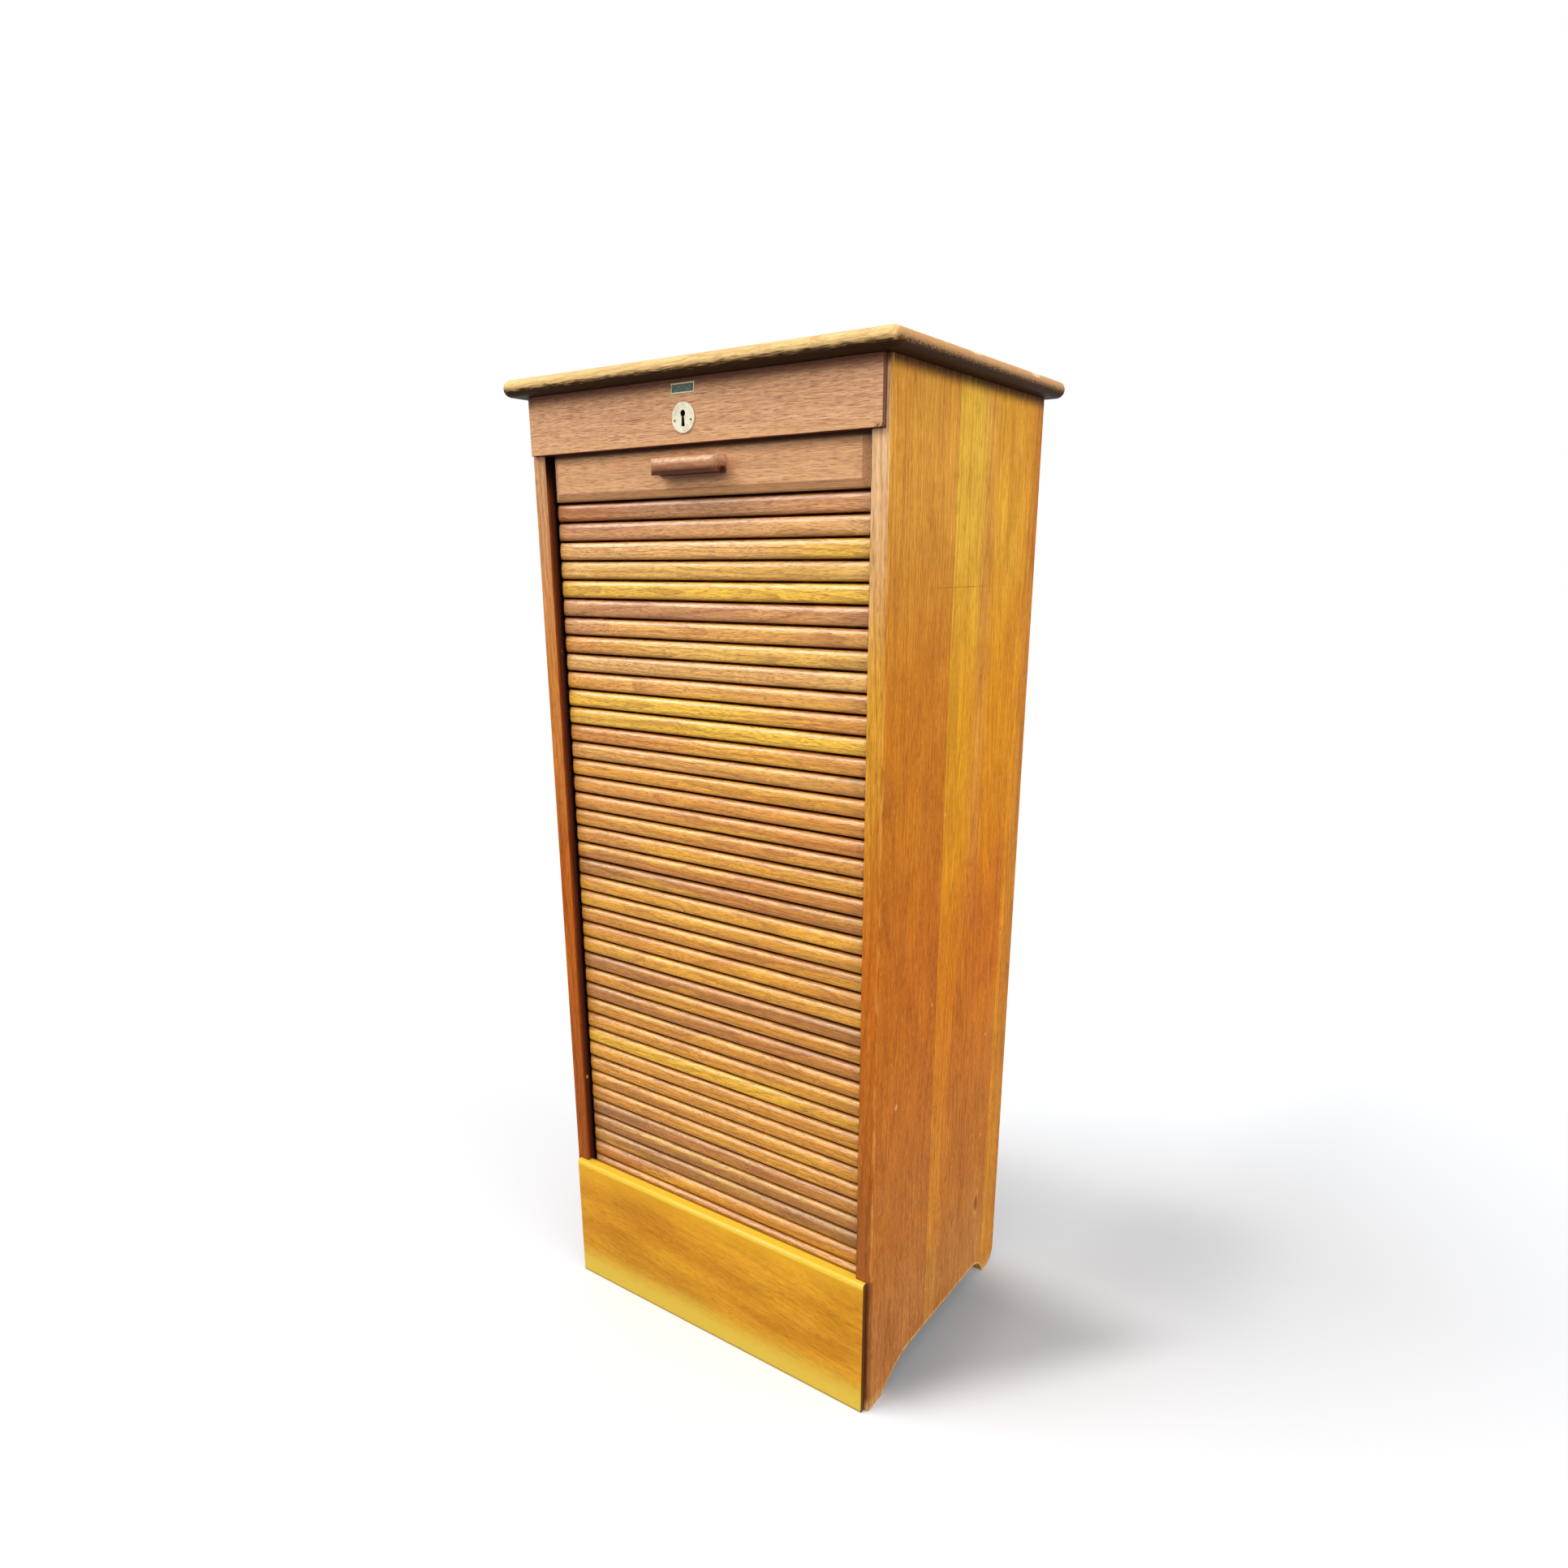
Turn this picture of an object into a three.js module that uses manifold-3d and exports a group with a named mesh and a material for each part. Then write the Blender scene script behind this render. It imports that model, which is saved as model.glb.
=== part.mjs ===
// A narrow standing oak cabinet whose whole front is a tambour door.
// Half-round slats on a canvas run down in grooves, round the base and up behind a false back.
// Millimetres. X is to the right, Y to the back, Z up. The origin is on the floor, under the top's middle.
import * as THREE from "three";
import { mergeVertices } from "three/addons/utils/BufferGeometryUtils.js";
import Module from "manifold-3d";

const wasm = await Module();
wasm.setup();

// Carcass
const BODY_WIDTH = 480;
const BODY_DEPTH = 362;
const BODY_HEIGHT = 1170; // floor to the underside of the top board
const SIDE_THICKNESS = 20;
const SIDE_ARRIS = 3; // rounding of the outer front edge
const FIT = 0.3; // gap left in every glued or screwed joint

// Top board
const TOP_THICKNESS = 18;
const TOP_OVERHANG = 20; // past the front boards, the sides and the back alike
const TOP_EDGE_ROUND = 8.5;
const TOP_CORNER_RADIUS = 12;

// Header and plinth, the two boards across the front
const BOARD_THICKNESS = 15;
const BOARD_PROUD = 6; // how far they stand in front of the side panels
const BOARD_INSET = 5.5; // from a board's end to the outside of the side panel
const HEADER_HEIGHT = 63;
const PLINTH_HEIGHT = 181;

// Feet cut in the lower edge of each side panel, measured back from the panel's front edge
const ARCH_HEIGHT = 28.5;
const FRONT_FOOT_LENGTH = 34;
const FRONT_ARCH_RUN = 72; // length over which the arch rises from the front foot
const FRONT_ARCH_FULLNESS_SHARE = 0.42; // of that length, where its curve is pulled up
const REAR_ARCH_RUN = 43;
const REAR_ARCH_FULLNESS_SHARE = 0.25;
const REAR_FOOT_LENGTH = 34; // including its rounded corner
const REAR_FOOT_ROUND = 22; // clears a skirting board

// Groove for the curtain, routed in the inner face of each side panel
const TRACK_WIDTH = 7;
const TRACK_DEPTH = 8;
const TRACK_BEND_RADIUS = 45;
const TRACK_FLOOR_HEIGHT = 50; // floor to the middle of the groove's bottom run

// Curtain
const SLAT_COUNT = 41;
const SLAT_GAP = 1.2;
const SLAT_THICKNESS = 10;
const SLAT_EDGE = 3.5; // thickness left at a slat's long edges
const SLAT_RUNNING_GAP = 1; // between the slats' crowns and the boards in front of them
const SLAT_SHOULDER_GAP = 1; // between a slat's shoulder and the side panel
const SLAT_END_SLOPE = 8; // length of the sloped end of the rounded front
const LAST_SLAT_SHOWING = 8.5; // the lowest slat's upper edge above the plinth
const TONGUE_THICKNESS = 6;
const TONGUE_HEIGHT = 12;
const TONGUE_END_GAP = 1.2;
const CANVAS_THICKNESS = 1.2;
const CANVAS_SEAM = 0.4;

// Lead rail, the thick first bar of the curtain
const LEAD_HEIGHT = 49;
const LEAD_TOP_GAP = 2;
const LEAD_FACE_SETBACK = 13; // behind the face of the header
const LEAD_END_GAP = 6.5; // between its face and the side panels
const LEAD_BEVEL_WIDTH = 7;
const LEAD_BEVEL_DEPTH = 3.5;
const LEAD_LIP_HEIGHT = 10; // how far its back tongue rises behind the header

// Pull on the lead rail, centred under the lock
const PULL_LENGTH = 90;
const PULL_HEIGHT = 17;
const PULL_REACH = 20;
const PULL_DROP = 12.5; // from the header to the top of the pull
const PULL_NOSE_ROUND = 6.5;
const PULL_LOWER_CHAMFER = 3.5;
const PULL_PLATE_THICKNESS = 2.5; // of the thin part that lies on the rail, behind both hollows
const PULL_TOP_HOLLOW = 3;
const PULL_LIP_THICKNESS = 8;
const PULL_LIP_SLOPE = 2.5;
const PULL_GRIP_DEPTH = 6; // of the hollow for the fingers underneath
const PULL_END_CHAMFER = 6; // along the front, at each end
const PULL_END_CHAMFER_DEPTH = 4;

// Inside
const DECK_HEIGHT = 170; // floor to the deck's upper face
const SHELF_THICKNESS = 16;
const SHELF_COUNT = 2;
const SHELF_SETBACK = 2; // from the curtain's canvas to the shelf edges
const HOUSING_DEPTH = 5;
const HOUSING_SHOULDER = 6; // from a board's upper face down to its tongues, and to the false back's foot
const FALSE_BACK_THICKNESS = 6;
const BACK_PANEL_THICKNESS = 6;
const BACK_REBATE = 8;
const BACK_PANEL_LIFT = 32; // floor to the back panel's lower edge
const REAR_RUN_GAP = 2.2; // around the curtain where it runs behind the false back
const TOP_RAIL_HEIGHT = 40;
const TOP_RAIL_THICKNESS = 20;

// Lock
const LOCK_OFFSET = -2.5; // the lock's centre line lies a little left of the middle
const ESCUTCHEON_DIAMETER = 30.5;
const ESCUTCHEON_THICKNESS = 1.2;
const ESCUTCHEON_BEVEL = 0.4;
const ESCUTCHEON_RISE = 25; // from the header's lower edge to the escutcheon's centre
const KEYHOLE_RADIUS = 3.4;
const KEYHOLE_RISE = 4; // from the escutcheon's centre to the round of the keyhole
const KEYHOLE_SLOT_DROP = 12.5; // from there to the foot of the slot
const KEYHOLE_NECK_SHARE = 0.4; // neck and foot of the slot, of the round's width
const KEYHOLE_FOOT_SHARE = 0.75;
const KEYHOLE_EASE = 0.6; // the hole in the wood and the case is this much larger all round
const PIN_SPREAD = 10.8; // of the escutcheon pins, to each side of the centre
const PIN_DROP = 2.5;
const PIN_HEAD_RADIUS = 1.3;
const PIN_HEAD_HEIGHT = 0.6;
const PIN_SHANK_RADIUS = 0.6;
const PIN_LENGTH = 8;
const CASE_WIDTH = 50;
const CASE_HEIGHT = 37;
const CASE_THICKNESS = 12;
const CASE_WALL = 1.5;
const CASE_LIFT = 1.5; // above the lead rail's lip
const HOOK_PIVOT_RISE = 8; // from the lead rail's lip to the hook's pivot
const HOOK_INNER_RADIUS = 10;
const HOOK_OUTER_RADIUS = 14;
const HOOK_HUB_RADIUS = 4;
const HOOK_PIVOT_RADIUS = 1.8;
const HOOK_THICKNESS = 3;
const HOOK_SIDE_GAP = 0.4;
const HOOK_TIP_ANGLE = 205; // degrees, anticlockwise from +X seen from the front
const HOOK_TAIL_ANGLE = 125;
const HOOK_ARM_WIDTH = 5;
const PLATE_LENGTH = 46;
const PLATE_THICKNESS = 1.5;
const PLATE_SLOT_EASE = 0.8;
const POCKET_DEPTH = 12;
const POCKET_WIDTH = 5;

// What a cutting solid runs past the face that it cuts
const OVERRUN = 2;
const ROUND_STEPS = 5;
const OUTLINE_STEPS = 10; // along each curve of a side panel's outline
const DISC_STEPS = 28;

// Places worked out from the sizes above
const front = -BODY_DEPTH / 2;
const back = BODY_DEPTH / 2;
const sideOuter = BODY_WIDTH / 2;
const sideInner = sideOuter - SIDE_THICKNESS;
const sideFront = front + BOARD_PROUD;
const boardBack = front + BOARD_THICKNESS;
const headerBottom = BODY_HEIGHT - HEADER_HEIGHT;

const slatCrown = boardBack + SLAT_RUNNING_GAP;
const slatBack = slatCrown + SLAT_THICKNESS;
const canvasBack = slatBack + CANVAS_THICKNESS;
const trackFrontY = slatBack - TONGUE_THICKNESS / 2;
const panelFront = back - BACK_PANEL_THICKNESS - FIT;
const trackRearY = panelFront - REAR_RUN_GAP - (trackFrontY - slatCrown);
const falseBackRear = trackRearY - (canvasBack - trackFrontY) - REAR_RUN_GAP;
const falseBackFront = falseBackRear - FALSE_BACK_THICKNESS;
const shelfFront = canvasBack + SHELF_SETBACK;

const leadTop = headerBottom - LEAD_TOP_GAP;
const leadBottom = leadTop - LEAD_HEIGHT;
const leadFace = front + LEAD_FACE_SETBACK;
const lipTop = headerBottom + LEAD_LIP_HEIGHT;
const slatPitch = (leadBottom - PLINTH_HEIGHT - LAST_SLAT_SHOWING) / (SLAT_COUNT - 1);
const slatHeight = slatPitch - SLAT_GAP;
const tongueEnd = sideInner + TRACK_DEPTH - TONGUE_END_GAP;

const deckBottom = DECK_HEIGHT - SHELF_THICKNESS;
const tongueThickness = SHELF_THICKNESS - HOUSING_SHOULDER;
const bay = (BODY_HEIGHT - DECK_HEIGHT - SHELF_COUNT * SHELF_THICKNESS) / (SHELF_COUNT + 1);

const lockZ = headerBottom + ESCUTCHEON_RISE;
const keyholeZ = lockZ + KEYHOLE_RISE;
const caseBottom = lipTop + CASE_LIFT;
const hookPivotZ = lipTop + HOOK_PIVOT_RISE;
const hookY = (slatCrown + slatBack) / 2;

// Solids from three.js geometries, and back
const alongX = new THREE.Matrix4().makeBasis(
  new THREE.Vector3(0, 1, 0),
  new THREE.Vector3(0, 0, 1),
  new THREE.Vector3(1, 0, 0),
);
const alongY = new THREE.Matrix4().makeBasis(
  new THREE.Vector3(1, 0, 0),
  new THREE.Vector3(0, 0, 1),
  new THREE.Vector3(0, -1, 0),
);

function solid(geometry) {
  const bare = geometry.clone();
  bare.deleteAttribute("normal");
  bare.deleteAttribute("uv");
  const merged = mergeVertices(bare);
  const corners = merged.index.array;
  const kept = [];
  for (let i = 0; i < corners.length; i += 3) {
    const [a, b, c] = corners.slice(i, i + 3);
    if (a !== b && b !== c && c !== a) kept.push(a, b, c);
  }
  return new wasm.Manifold(
    new wasm.Mesh({
      numProp: 3,
      vertProperties: merged.attributes.position.array,
      triVerts: new Uint32Array(kept),
    }),
  );
}

function geometryOf(made) {
  const mesh = made.getMesh();
  const geometry = new THREE.BufferGeometry();
  geometry.setAttribute("position", new THREE.BufferAttribute(mesh.vertProperties, 3));
  geometry.setIndex(new THREE.BufferAttribute(mesh.triVerts, 1));
  const flat = geometry.toNonIndexed();
  flat.computeVertexNormals();
  return flat;
}

// A box between two opposite corners, given in any order
function box(xa, xb, ya, yb, za, zb) {
  const geometry = new THREE.BoxGeometry(Math.abs(xb - xa), Math.abs(yb - ya), Math.abs(zb - za));
  geometry.translate((xa + xb) / 2, (ya + yb) / 2, (za + zb) / 2);
  return solid(geometry);
}

// An outline of [y, z] points or a Shape, run along X from one place to another
function prismX(outline, xa, xb, steps = ROUND_STEPS) {
  const geometry = extrude(outline, Math.abs(xb - xa), steps);
  geometry.applyMatrix4(alongX);
  geometry.translate(Math.min(xa, xb), 0, 0);
  return solid(geometry);
}

// An outline in X and Z, run along Y
function prismY(outline, ya, yb, steps = ROUND_STEPS) {
  const geometry = extrude(outline, Math.abs(yb - ya), steps);
  geometry.applyMatrix4(alongY);
  geometry.translate(0, Math.max(ya, yb), 0);
  return solid(geometry);
}

// An outline in X and Y, run along Z
function prismZ(outline, za, zb, steps = ROUND_STEPS) {
  const geometry = extrude(outline, Math.abs(zb - za), steps);
  geometry.translate(0, 0, Math.min(za, zb));
  return solid(geometry);
}

function extrude(outline, depth, curveSegments) {
  const points = (pairs) => pairs.map(([u, v]) => new THREE.Vector2(u, v));
  const shape = Array.isArray(outline) ? new THREE.Shape(points(outline)) : outline;
  return new THREE.ExtrudeGeometry(shape, { depth, curveSegments, bevelEnabled: false });
}

function circle(u, v, radius) {
  const shape = new THREE.Shape();
  shape.absarc(u, v, radius, 0, 2 * Math.PI, false);
  return shape;
}

const wood = (color) => new THREE.MeshStandardMaterial({ color, roughness: 0.5, metalness: 0 });
const metal = (color) => new THREE.MeshStandardMaterial({ color, roughness: 0.35, metalness: 0.9 });

function piece(name, made, material) {
  const mesh = new THREE.Mesh(geometryOf(made), material);
  mesh.name = name;
  return mesh;
}

// Side panels

// Outline of a side panel in Y and Z, with its two feet and the arch between them
function sideOutline() {
  const archFront = sideFront + FRONT_FOOT_LENGTH;
  const archRear = back - REAR_FOOT_LENGTH;
  const shape = new THREE.Shape();
  shape.moveTo(sideFront, 0);
  shape.lineTo(archFront, 0);
  shape.quadraticCurveTo(
    archFront + FRONT_ARCH_RUN * FRONT_ARCH_FULLNESS_SHARE,
    ARCH_HEIGHT,
    archFront + FRONT_ARCH_RUN,
    ARCH_HEIGHT,
  );
  shape.lineTo(archRear - REAR_ARCH_RUN, ARCH_HEIGHT);
  shape.quadraticCurveTo(
    archRear - REAR_ARCH_RUN * REAR_ARCH_FULLNESS_SHARE,
    ARCH_HEIGHT,
    archRear,
    0,
  );
  shape.lineTo(back - REAR_FOOT_ROUND, 0);
  shape.absarc(back - REAR_FOOT_ROUND, REAR_FOOT_ROUND, REAR_FOOT_ROUND, -Math.PI / 2, 0, false);
  shape.lineTo(back, BODY_HEIGHT - FIT);
  shape.lineTo(sideFront, BODY_HEIGHT - FIT);
  return shape;
}

// The groove's outline: down the front, round the base and up the back, where it runs out at the top
function trackOutline() {
  const half = TRACK_WIDTH / 2;
  const outer = TRACK_BEND_RADIUS + half;
  const inner = TRACK_BEND_RADIUS - half;
  const bendZ = TRACK_FLOOR_HEIGHT + TRACK_BEND_RADIUS;
  const frontBendY = trackFrontY + TRACK_BEND_RADIUS;
  const rearBendY = trackRearY - TRACK_BEND_RADIUS;
  const frontTop = lipTop + OVERRUN;
  const rearTop = BODY_HEIGHT + OVERRUN;
  const shape = new THREE.Shape();
  shape.moveTo(trackFrontY + half, frontTop);
  shape.lineTo(trackFrontY - half, frontTop);
  shape.absarc(frontBendY, bendZ, outer, Math.PI, 1.5 * Math.PI, false);
  shape.absarc(rearBendY, bendZ, outer, 1.5 * Math.PI, 2 * Math.PI, false);
  shape.lineTo(trackRearY + half, rearTop);
  shape.lineTo(trackRearY - half, rearTop);
  shape.absarc(rearBendY, bendZ, inner, 2 * Math.PI, 1.5 * Math.PI, true);
  shape.absarc(frontBendY, bendZ, inner, 1.5 * Math.PI, Math.PI, true);
  return shape;
}

// The sliver between the square outer front corner and its rounding, seen from above
function arrisOutline(side) {
  const x = (inward) => side * (sideOuter - inward);
  const pairs = [[x(-OVERRUN), sideFront - OVERRUN]];
  pairs.push([x(SIDE_ARRIS), sideFront - OVERRUN]);
  for (let step = 0; step <= ROUND_STEPS; step++) {
    const turn = (step / ROUND_STEPS) * (Math.PI / 2);
    const inward = SIDE_ARRIS * (1 - Math.sin(turn));
    pairs.push([x(inward), sideFront + SIDE_ARRIS * (1 - Math.cos(turn))]);
  }
  pairs.push([x(-OVERRUN), sideFront + SIDE_ARRIS]);
  return pairs;
}

function sidePanel(side) {
  const inner = side * sideInner;
  const overInner = side * (sideInner - OVERRUN);
  const boardEnd = side * (sideOuter - BOARD_INSET + FIT);
  const housingEnd = side * (sideInner + HOUSING_DEPTH);
  let made = prismX(sideOutline(), inner, side * sideOuter, OUTLINE_STEPS);
  const cut = (solidCut) => {
    made = made.subtract(solidCut);
  };
  cut(prismX(trackOutline(), overInner, side * (sideInner + TRACK_DEPTH), ROUND_STEPS + 1));
  for (const [low, high] of [
    [-OVERRUN, PLINTH_HEIGHT + FIT],
    [headerBottom - FIT, BODY_HEIGHT + OVERRUN],
  ]) {
    cut(box(overInner, boardEnd, sideFront - OVERRUN, boardBack + FIT, low, high));
  }
  for (const [low, rear] of housings()) {
    cut(box(overInner, housingEnd, shelfFront - FIT, rear + FIT, low - FIT, low + tongueThickness + FIT));
  }
  const rebateEnd = side * (sideInner + BACK_REBATE);
  cut(box(overInner, rebateEnd, panelFront - FIT, back + OVERRUN, -OVERRUN, BODY_HEIGHT + OVERRUN));
  cut(prismZ(arrisOutline(side), -OVERRUN, BODY_HEIGHT + OVERRUN));
  return made;
}

// Lower face and rear edge of each board that is housed in the sides: the deck, then the shelves
function housings() {
  const list = [[deckBottom, falseBackRear]];
  for (let n = 0; n < SHELF_COUNT; n++) {
    list.push([shelfBottom(n), falseBackFront - FIT]);
  }
  return list;
}

function shelfBottom(n) {
  return DECK_HEIGHT + bay + n * (bay + SHELF_THICKNESS);
}

// The board ends in tongues that its upper face stops short of, so that face lies clear of the sides.
// The deck's rear edge is rebated in the same way, and the false back stands in that rebate.
function housedBoard([low, rear]) {
  const end = sideInner + HOUSING_DEPTH - FIT;
  const shoulder = sideInner - FIT;
  const faceRear = falseBackFront - FIT;
  const step = low + tongueThickness;
  const over = low + SHELF_THICKNESS + OVERRUN;
  let made = box(-end, end, shelfFront, rear, low, low + SHELF_THICKNESS);
  for (const side of [-1, 1]) {
    const beyond = side * (end + OVERRUN);
    made = made.subtract(
      box(side * shoulder, beyond, shelfFront - OVERRUN, rear + OVERRUN, step, over),
    );
  }
  if (rear > faceRear) {
    made = made.subtract(box(-end - OVERRUN, end + OVERRUN, faceRear, rear + OVERRUN, step, over));
  }
  return made;
}

// Top, header and plinth

function topBoard() {
  const x = BODY_WIDTH / 2 + TOP_OVERHANG - TOP_EDGE_ROUND;
  const y = BODY_DEPTH / 2 + TOP_OVERHANG - TOP_EDGE_ROUND;
  const r = TOP_CORNER_RADIUS - TOP_EDGE_ROUND;
  const shape = new THREE.Shape();
  shape.absarc(x - r, r - y, r, -Math.PI / 2, 0, false);
  shape.absarc(x - r, y - r, r, 0, Math.PI / 2, false);
  shape.absarc(r - x, y - r, r, Math.PI / 2, Math.PI, false);
  shape.absarc(r - x, r - y, r, Math.PI, 1.5 * Math.PI, false);
  const geometry = new THREE.ExtrudeGeometry(shape, {
    depth: TOP_THICKNESS - 2 * TOP_EDGE_ROUND,
    curveSegments: ROUND_STEPS,
    bevelThickness: TOP_EDGE_ROUND,
    bevelSize: TOP_EDGE_ROUND,
    bevelSegments: ROUND_STEPS,
  });
  geometry.translate(0, 0, BODY_HEIGHT + TOP_EDGE_ROUND);
  return solid(geometry);
}

// The keyhole's round and its flared slot, as a solid to cut with
function keyhole(ya, yb, ease) {
  const radius = KEYHOLE_RADIUS + ease;
  const neck = KEYHOLE_RADIUS * KEYHOLE_NECK_SHARE + ease;
  const foot = KEYHOLE_RADIUS * KEYHOLE_FOOT_SHARE + ease;
  const footZ = keyholeZ - KEYHOLE_SLOT_DROP - ease;
  const slot = [
    [LOCK_OFFSET - neck, keyholeZ],
    [LOCK_OFFSET - foot, footZ],
    [LOCK_OFFSET + foot, footZ],
    [LOCK_OFFSET + neck, keyholeZ],
  ];
  const round = prismY(circle(LOCK_OFFSET, keyholeZ, radius), ya, yb, DISC_STEPS / 2);
  return round.add(prismY(slot, ya, yb));
}

const pinPlaces = [-1, 1].map((side) => [LOCK_OFFSET + side * PIN_SPREAD, lockZ - PIN_DROP]);

function pinHole([x, z], ya, yb) {
  return prismY(circle(x, z, PIN_SHANK_RADIUS + FIT), ya, yb);
}

function headerBoard() {
  const end = sideOuter - BOARD_INSET;
  const ya = front - OVERRUN;
  const yb = boardBack + OVERRUN;
  let made = box(-end, end, front, boardBack, headerBottom, BODY_HEIGHT - FIT);
  made = made.subtract(keyhole(ya, yb, KEYHOLE_EASE));
  for (const place of pinPlaces) {
    made = made.subtract(pinHole(place, ya, front + PIN_LENGTH));
  }
  return made;
}

function plinthBoard() {
  const end = sideOuter - BOARD_INSET;
  return box(-end, end, front, boardBack, 0, PLINTH_HEIGHT);
}

// Lock

function escutcheon() {
  const rear = front - FIT;
  const geometry = new THREE.ExtrudeGeometry(
    circle(LOCK_OFFSET, lockZ, ESCUTCHEON_DIAMETER / 2 - ESCUTCHEON_BEVEL),
    {
      depth: ESCUTCHEON_THICKNESS - 2 * ESCUTCHEON_BEVEL,
      curveSegments: DISC_STEPS,
      bevelThickness: ESCUTCHEON_BEVEL,
      bevelSize: ESCUTCHEON_BEVEL,
      bevelSegments: 1,
    },
  );
  geometry.applyMatrix4(alongY);
  geometry.translate(0, rear - ESCUTCHEON_BEVEL, 0);
  let made = solid(geometry);
  made = made.subtract(keyhole(rear - ESCUTCHEON_THICKNESS - OVERRUN, rear + OVERRUN, 0));
  for (const place of pinPlaces) {
    made = made.subtract(pinHole(place, rear - ESCUTCHEON_THICKNESS - OVERRUN, rear + OVERRUN));
  }
  return made;
}

// A round-headed pin whose head sits on the escutcheon
function escutcheonPin([x, z]) {
  const seat = FIT + ESCUTCHEON_THICKNESS + FIT / 2;
  const profile = [new THREE.Vector2(0, seat - PIN_LENGTH)];
  profile.push(new THREE.Vector2(PIN_SHANK_RADIUS, seat - PIN_LENGTH));
  profile.push(new THREE.Vector2(PIN_SHANK_RADIUS, seat));
  for (let step = 0; step < ROUND_STEPS; step++) {
    const turn = (step / ROUND_STEPS) * (Math.PI / 2);
    const radius = PIN_HEAD_RADIUS * Math.cos(turn);
    profile.push(new THREE.Vector2(radius, seat + PIN_HEAD_HEIGHT * Math.sin(turn)));
  }
  profile.push(new THREE.Vector2(0, seat + PIN_HEAD_HEIGHT));
  const geometry = new THREE.LatheGeometry(profile, 2 * ROUND_STEPS);
  const outward = new THREE.Matrix4().makeBasis(
    new THREE.Vector3(1, 0, 0),
    new THREE.Vector3(0, -1, 0),
    new THREE.Vector3(0, 0, -1),
  );
  geometry.applyMatrix4(outward);
  geometry.translate(x, front, z);
  return solid(geometry);
}

const caseFront = boardBack + FIT;
const caseRear = caseFront + CASE_THICKNESS;
const caseLeft = LOCK_OFFSET - CASE_WIDTH / 2;
const caseRight = LOCK_OFFSET + CASE_WIDTH / 2;

function lockCase() {
  let made = box(caseLeft, caseRight, caseFront, caseRear, caseBottom, caseBottom + CASE_HEIGHT);
  made = made.subtract(
    box(
      caseLeft + CASE_WALL,
      caseRight - CASE_WALL,
      caseFront + CASE_WALL,
      caseRear - CASE_WALL,
      caseBottom + CASE_WALL,
      caseBottom + CASE_HEIGHT - CASE_WALL,
    ),
  );
  made = made.subtract(
    box(
      LOCK_OFFSET - HOOK_OUTER_RADIUS - HOOK_SIDE_GAP,
      LOCK_OFFSET + HOOK_HUB_RADIUS + HOOK_SIDE_GAP,
      hookY - HOOK_THICKNESS / 2 - HOOK_SIDE_GAP,
      hookY + HOOK_THICKNESS / 2 + HOOK_SIDE_GAP,
      caseBottom - OVERRUN,
      caseBottom + CASE_WALL + OVERRUN,
    ),
  );
  made = made.subtract(keyhole(caseFront - OVERRUN, caseFront + CASE_WALL + OVERRUN, KEYHOLE_EASE));
  const pivot = prismY(
    circle(LOCK_OFFSET, hookPivotZ, HOOK_PIVOT_RADIUS),
    caseFront + CASE_WALL / 2,
    caseRear - CASE_WALL / 2,
  );
  return made.add(pivot);
}

// The hook is part of a ring about its pivot, so it swings in under the strike plate's bridge
function lockHook() {
  const tip = THREE.MathUtils.degToRad(HOOK_TIP_ANGLE);
  const tail = THREE.MathUtils.degToRad(HOOK_TAIL_ANGLE);
  const ring = new THREE.Shape();
  ring.absarc(LOCK_OFFSET, hookPivotZ, HOOK_OUTER_RADIUS, tail, tip, false);
  ring.absarc(LOCK_OFFSET, hookPivotZ, HOOK_INNER_RADIUS, tip, tail, true);
  const middle = (HOOK_INNER_RADIUS + HOOK_OUTER_RADIUS) / 2;
  const along = [Math.cos(tail), Math.sin(tail)];
  const across = [-along[1], along[0]];
  const corner = (far, wide) => [
    LOCK_OFFSET + far * along[0] + wide * across[0],
    hookPivotZ + far * along[1] + wide * across[1],
  ];
  const arm = [corner(0, 0), corner(middle, 0), corner(middle, HOOK_ARM_WIDTH), corner(0, HOOK_ARM_WIDTH)];
  const ya = hookY - HOOK_THICKNESS / 2;
  const yb = hookY + HOOK_THICKNESS / 2;
  const hubFront = caseFront + CASE_WALL + HOOK_SIDE_GAP;
  const hubRear = caseRear - CASE_WALL - HOOK_SIDE_GAP;
  const hub = prismY(circle(LOCK_OFFSET, hookPivotZ, HOOK_HUB_RADIUS), hubFront, hubRear);
  const bore = prismY(
    circle(LOCK_OFFSET, hookPivotZ, HOOK_PIVOT_RADIUS + HOOK_SIDE_GAP),
    hubFront - OVERRUN,
    hubRear + OVERRUN,
  );
  return prismY(ring, ya, yb, 2 * ROUND_STEPS)
    .add(prismY(arm, ya, yb))
    .add(hub)
    .subtract(bore);
}

const plateBottom = lipTop - PLATE_THICKNESS;
const slotHalf = HOOK_THICKNESS / 2 + PLATE_SLOT_EASE;

function strikePlate() {
  const low = plateBottom - hookPivotZ;
  const bridge = -Math.sqrt(HOOK_INNER_RADIUS ** 2 - low ** 2) + PLATE_SLOT_EASE;
  const plate = box(
    LOCK_OFFSET - PLATE_LENGTH / 2,
    LOCK_OFFSET + PLATE_LENGTH / 2,
    slatCrown + FIT,
    slatBack - FIT,
    plateBottom,
    lipTop,
  );
  const slot = box(
    LOCK_OFFSET - HOOK_OUTER_RADIUS - PLATE_SLOT_EASE,
    LOCK_OFFSET + bridge,
    hookY - slotHalf,
    hookY + slotHalf,
    plateBottom - OVERRUN,
    lipTop + OVERRUN,
  );
  return plate.subtract(slot);
}

// Curtain

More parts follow.
